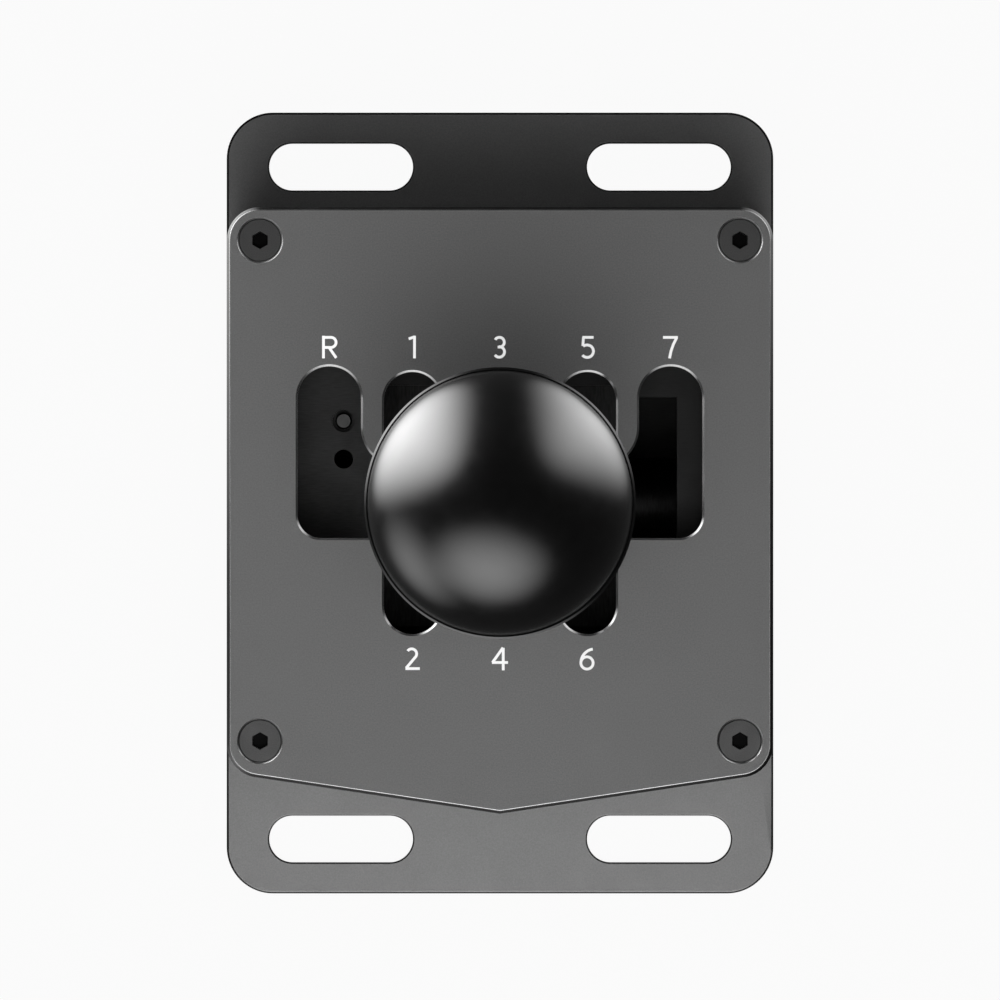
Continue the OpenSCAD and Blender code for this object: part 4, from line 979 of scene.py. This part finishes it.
# %% [markdown]
# ## Floor and backdrop
#
# The object stands on a plain pale floor. Two things are asked of it at once: the camera should see it as
# white, with a trace of the shadow, and it should not throw more light up at the object. Light Path tells
# one kind of ray from another, so the camera's rays see a mostly white floor, and the light that bounces
# sees a pale grey one. Rays that come off metal or through glass see a share of the backdrop's white too.
# The share is small, because in the photograph the polished knob mirrors a studio that is dark around its
# lamps.
#
# The lower ends of the side lamps reach below the floor, and the knob mirrors them down to its rim. So the
# floor is kept out of reflections, and it holds back no light. It still takes the object's shadow.

# %% Lay the floor
FLOOR_HALF = 3.0  # metres
FLOOR_GAP = 0.02  # mm below the plate, so that the two never share a plane
SHADOW_SHARE = 0.05  # how much of the painted floor, with its shadow, the camera sees under the white
MIRRORED = 0.02  # how much of the white a mirror or glass shows
floor_mesh = bmesh.new()
bmesh.ops.create_grid(floor_mesh, x_segments=1, y_segments=1, size=FLOOR_HALF,
                      matrix=Matrix.Translation(mm(0, 0, -FLOOR_GAP)))
floor_data = bpy.data.meshes.new("floor")
floor_mesh.to_mesh(floor_data)
floor_mesh.free()
floor = bpy.data.objects.new("floor", floor_data)
bpy.context.scene.collection.objects.link(floor)
floor.visible_glossy = floor.visible_shadow = False


def share_of_white(tree, when_seen):
    """How white a surface is for a ray: white when seen, a share of it when mirrored, else none."""
    ray = add_node(tree, "ShaderNodeLightPath", {})
    mirrored = add_node(tree, "ShaderNodeMath", {"operation": "ADD", "use_clamp": True},
                        {0: ray.outputs["Is Glossy Ray"], 1: ray.outputs["Is Transmission Ray"]})
    share = add_node(tree, "ShaderNodeMath", {"operation": "MULTIPLY", 1: MIRRORED},
                     {0: mirrored.outputs[0]})
    camera_ray = add_node(tree, "ShaderNodeMath", {"operation": "MULTIPLY", 1: when_seen},
                          {0: ray.outputs["Is Camera Ray"]})
    larger = add_node(tree, "ShaderNodeMath", {"operation": "MAXIMUM"},
                      {0: share.outputs[0], 1: camera_ray.outputs[0]})
    return larger.outputs[0]


floor_paint, tree = start_finish("pale_studio_floor")[:2]
paint = add_node(tree, "ShaderNodeBsdfDiffuse", {"Color": colour("#dadada")})
white = add_node(tree, "ShaderNodeEmission", {"Color": colour("#ffffff"), "Strength": 1.0})
seen = add_node(tree, "ShaderNodeMixShader", {},
                {0: share_of_white(tree, 1 - SHADOW_SHARE), 1: paint.outputs[0], 2: white.outputs[0]})
add_node(tree, "ShaderNodeOutputMaterial", {}, {"Surface": seen.outputs[0]})
floor_data.materials.append(floor_paint)
print("floor", 2 * FLOOR_HALF, "m wide")

# %% [markdown]
# The room behind the floor is split in the same way: white for the camera, nearly dark for everything else.

# %% Hang the backdrop
AMBIENT = 0.02
world = bpy.data.worlds.new("studio")
bpy.context.scene.world = world
world.use_nodes = True
tree = world.node_tree
tree.nodes.clear()
ambient = add_node(tree, "ShaderNodeBackground", {"Color": colour("#ffffff"), "Strength": AMBIENT})
bright = add_node(tree, "ShaderNodeBackground", {"Color": colour("#ffffff"), "Strength": 1.0})
both = add_node(tree, "ShaderNodeMixShader", {},
                {0: share_of_white(tree, 1), 1: ambient.outputs[0], 2: bright.outputs[0]})
add_node(tree, "ShaderNodeOutputWorld", {}, {"Surface": both.outputs[0]})

# %% [markdown]
# ## Lamps
#
# The knob tells how the studio was lit, because a black ball mirrors all of it: a large lamp in front and
# above, two big panels behind on the left and right with a dark band between them, and a small one low on
# the left. None of them has a hard edge. A soft box is brightest in its middle, so each lamp is an area
# light whose strength fades towards its rim. Its Parametric coordinates run from 0 to 1 across it, whatever
# its size.
#
# The cover is lit from nearly straight above. A small lamp there gives its grain a sheen, and a wide weak
# one fills in. A photographer would shade the knob from both with a flag. Here light linking does that, and
# it keeps the lamps that are meant for the knob off the floor, and the side lamps off the base plate too.

# %% Set up the lamps
KNOB_CENTRE = mm(0, 0, KNOB_Z)


def unlit(name, *pieces):
    """A light-linking collection that keeps a lamp off some pieces."""
    group = bpy.data.collections.new(name)
    for piece in pieces:
        group.objects.link(piece)
    for member in group.collection_objects:
        member.light_linking.link_state = "EXCLUDE"
    return group


def soft_lamp(name, azimuth, elevation, distance, half_width, half_height, radiance, keep_off):
    """A lamp that the knob sees at an azimuth (0 is +X, 90 the rear) and an elevation, some metres away.

    Its glow falls to half at half_width and half_height, in degrees from its middle. keep_off stays unlit."""
    data = bpy.data.lights.new(name, "AREA")
    data.shape = "RECTANGLE"
    data.size = 4 * distance * math.tan(math.radians(half_width))
    data.size_y = 4 * distance * math.tan(math.radians(half_height))
    # A flat lamp gives off pi times its radiance from each square metre
    data.energy = radiance * math.pi * data.size * data.size_y
    data.use_nodes = True
    tree = data.node_tree
    tree.nodes.clear()
    across = add_node(tree, "ShaderNodeNewGeometry", {}).outputs["Parametric"]
    from_middle = add_node(tree, "ShaderNodeVectorMath", {"operation": "SUBTRACT", 1: (0.5, 0.5, 0)},
                           {0: across})
    flat = add_node(tree, "ShaderNodeVectorMath", {"operation": "MULTIPLY", 1: (2, 2, 0)},
                    {0: from_middle.outputs[0]})
    far = add_node(tree, "ShaderNodeVectorMath", {"operation": "LENGTH"}, {0: flat.outputs[0]})
    fade = add_node(tree, "ShaderNodeMapRange",
                    {"interpolation_type": "SMOOTHSTEP", "To Min": 1.0, "To Max": 0.0},
                    {"Value": far.outputs["Value"]})
    glow = add_node(tree, "ShaderNodeEmission", {}, {"Strength": fade.outputs[0]})
    add_node(tree, "ShaderNodeOutputLight", {}, {"Surface": glow.outputs[0]})
    lamp = bpy.data.objects.new(name, data)
    a, e = math.radians(azimuth), math.radians(elevation)
    away = Vector((math.cos(a) * math.cos(e), math.sin(a) * math.cos(e), math.sin(e)))
    lamp.location = KNOB_CENTRE + away * distance
    lamp.rotation_mode = "QUATERNION"
    lamp.rotation_quaternion = away.to_track_quat("Z", "Y")
    lamp.visible_camera = False
    lamp.light_linking.receiver_collection = keep_off
    bpy.context.scene.collection.objects.link(lamp)
    print(name, round(data.size, 2), "by", round(data.size_y, 2), "m")


not_on_ground = unlit("not_on_plate_or_floor", base_plate, floor)
not_on_knob = unlit("not_on_knob", dome, cup)
soft_lamp("front_lamp", -99.5, 30, 0.6, 32, 26, 3.4, unlit("not_on_floor", floor))
soft_lamp("left_rear_panel", 143, -8, 0.2, 24.5, 39, 9.3, not_on_ground)
soft_lamp("right_rear_panel", 40, -13.5, 0.2, 21, 38.5, 4.6, not_on_ground)
soft_lamp("low_left_lamp", -144.5, -10, 0.3, 20, 19, 1.8, not_on_ground)
soft_lamp("top_lamp", -90, 75, 0.7, 12, 12, 7.6, not_on_knob)
soft_lamp("overhead_fill", -90, 89.9, 0.8, 35, 35, 0.16, not_on_knob)

# %% [markdown]
# ## Finish
#
# Colours are shown as they are, without a film curve.

# %% Finish
bpy.context.scene.view_settings.view_transform = "Standard"
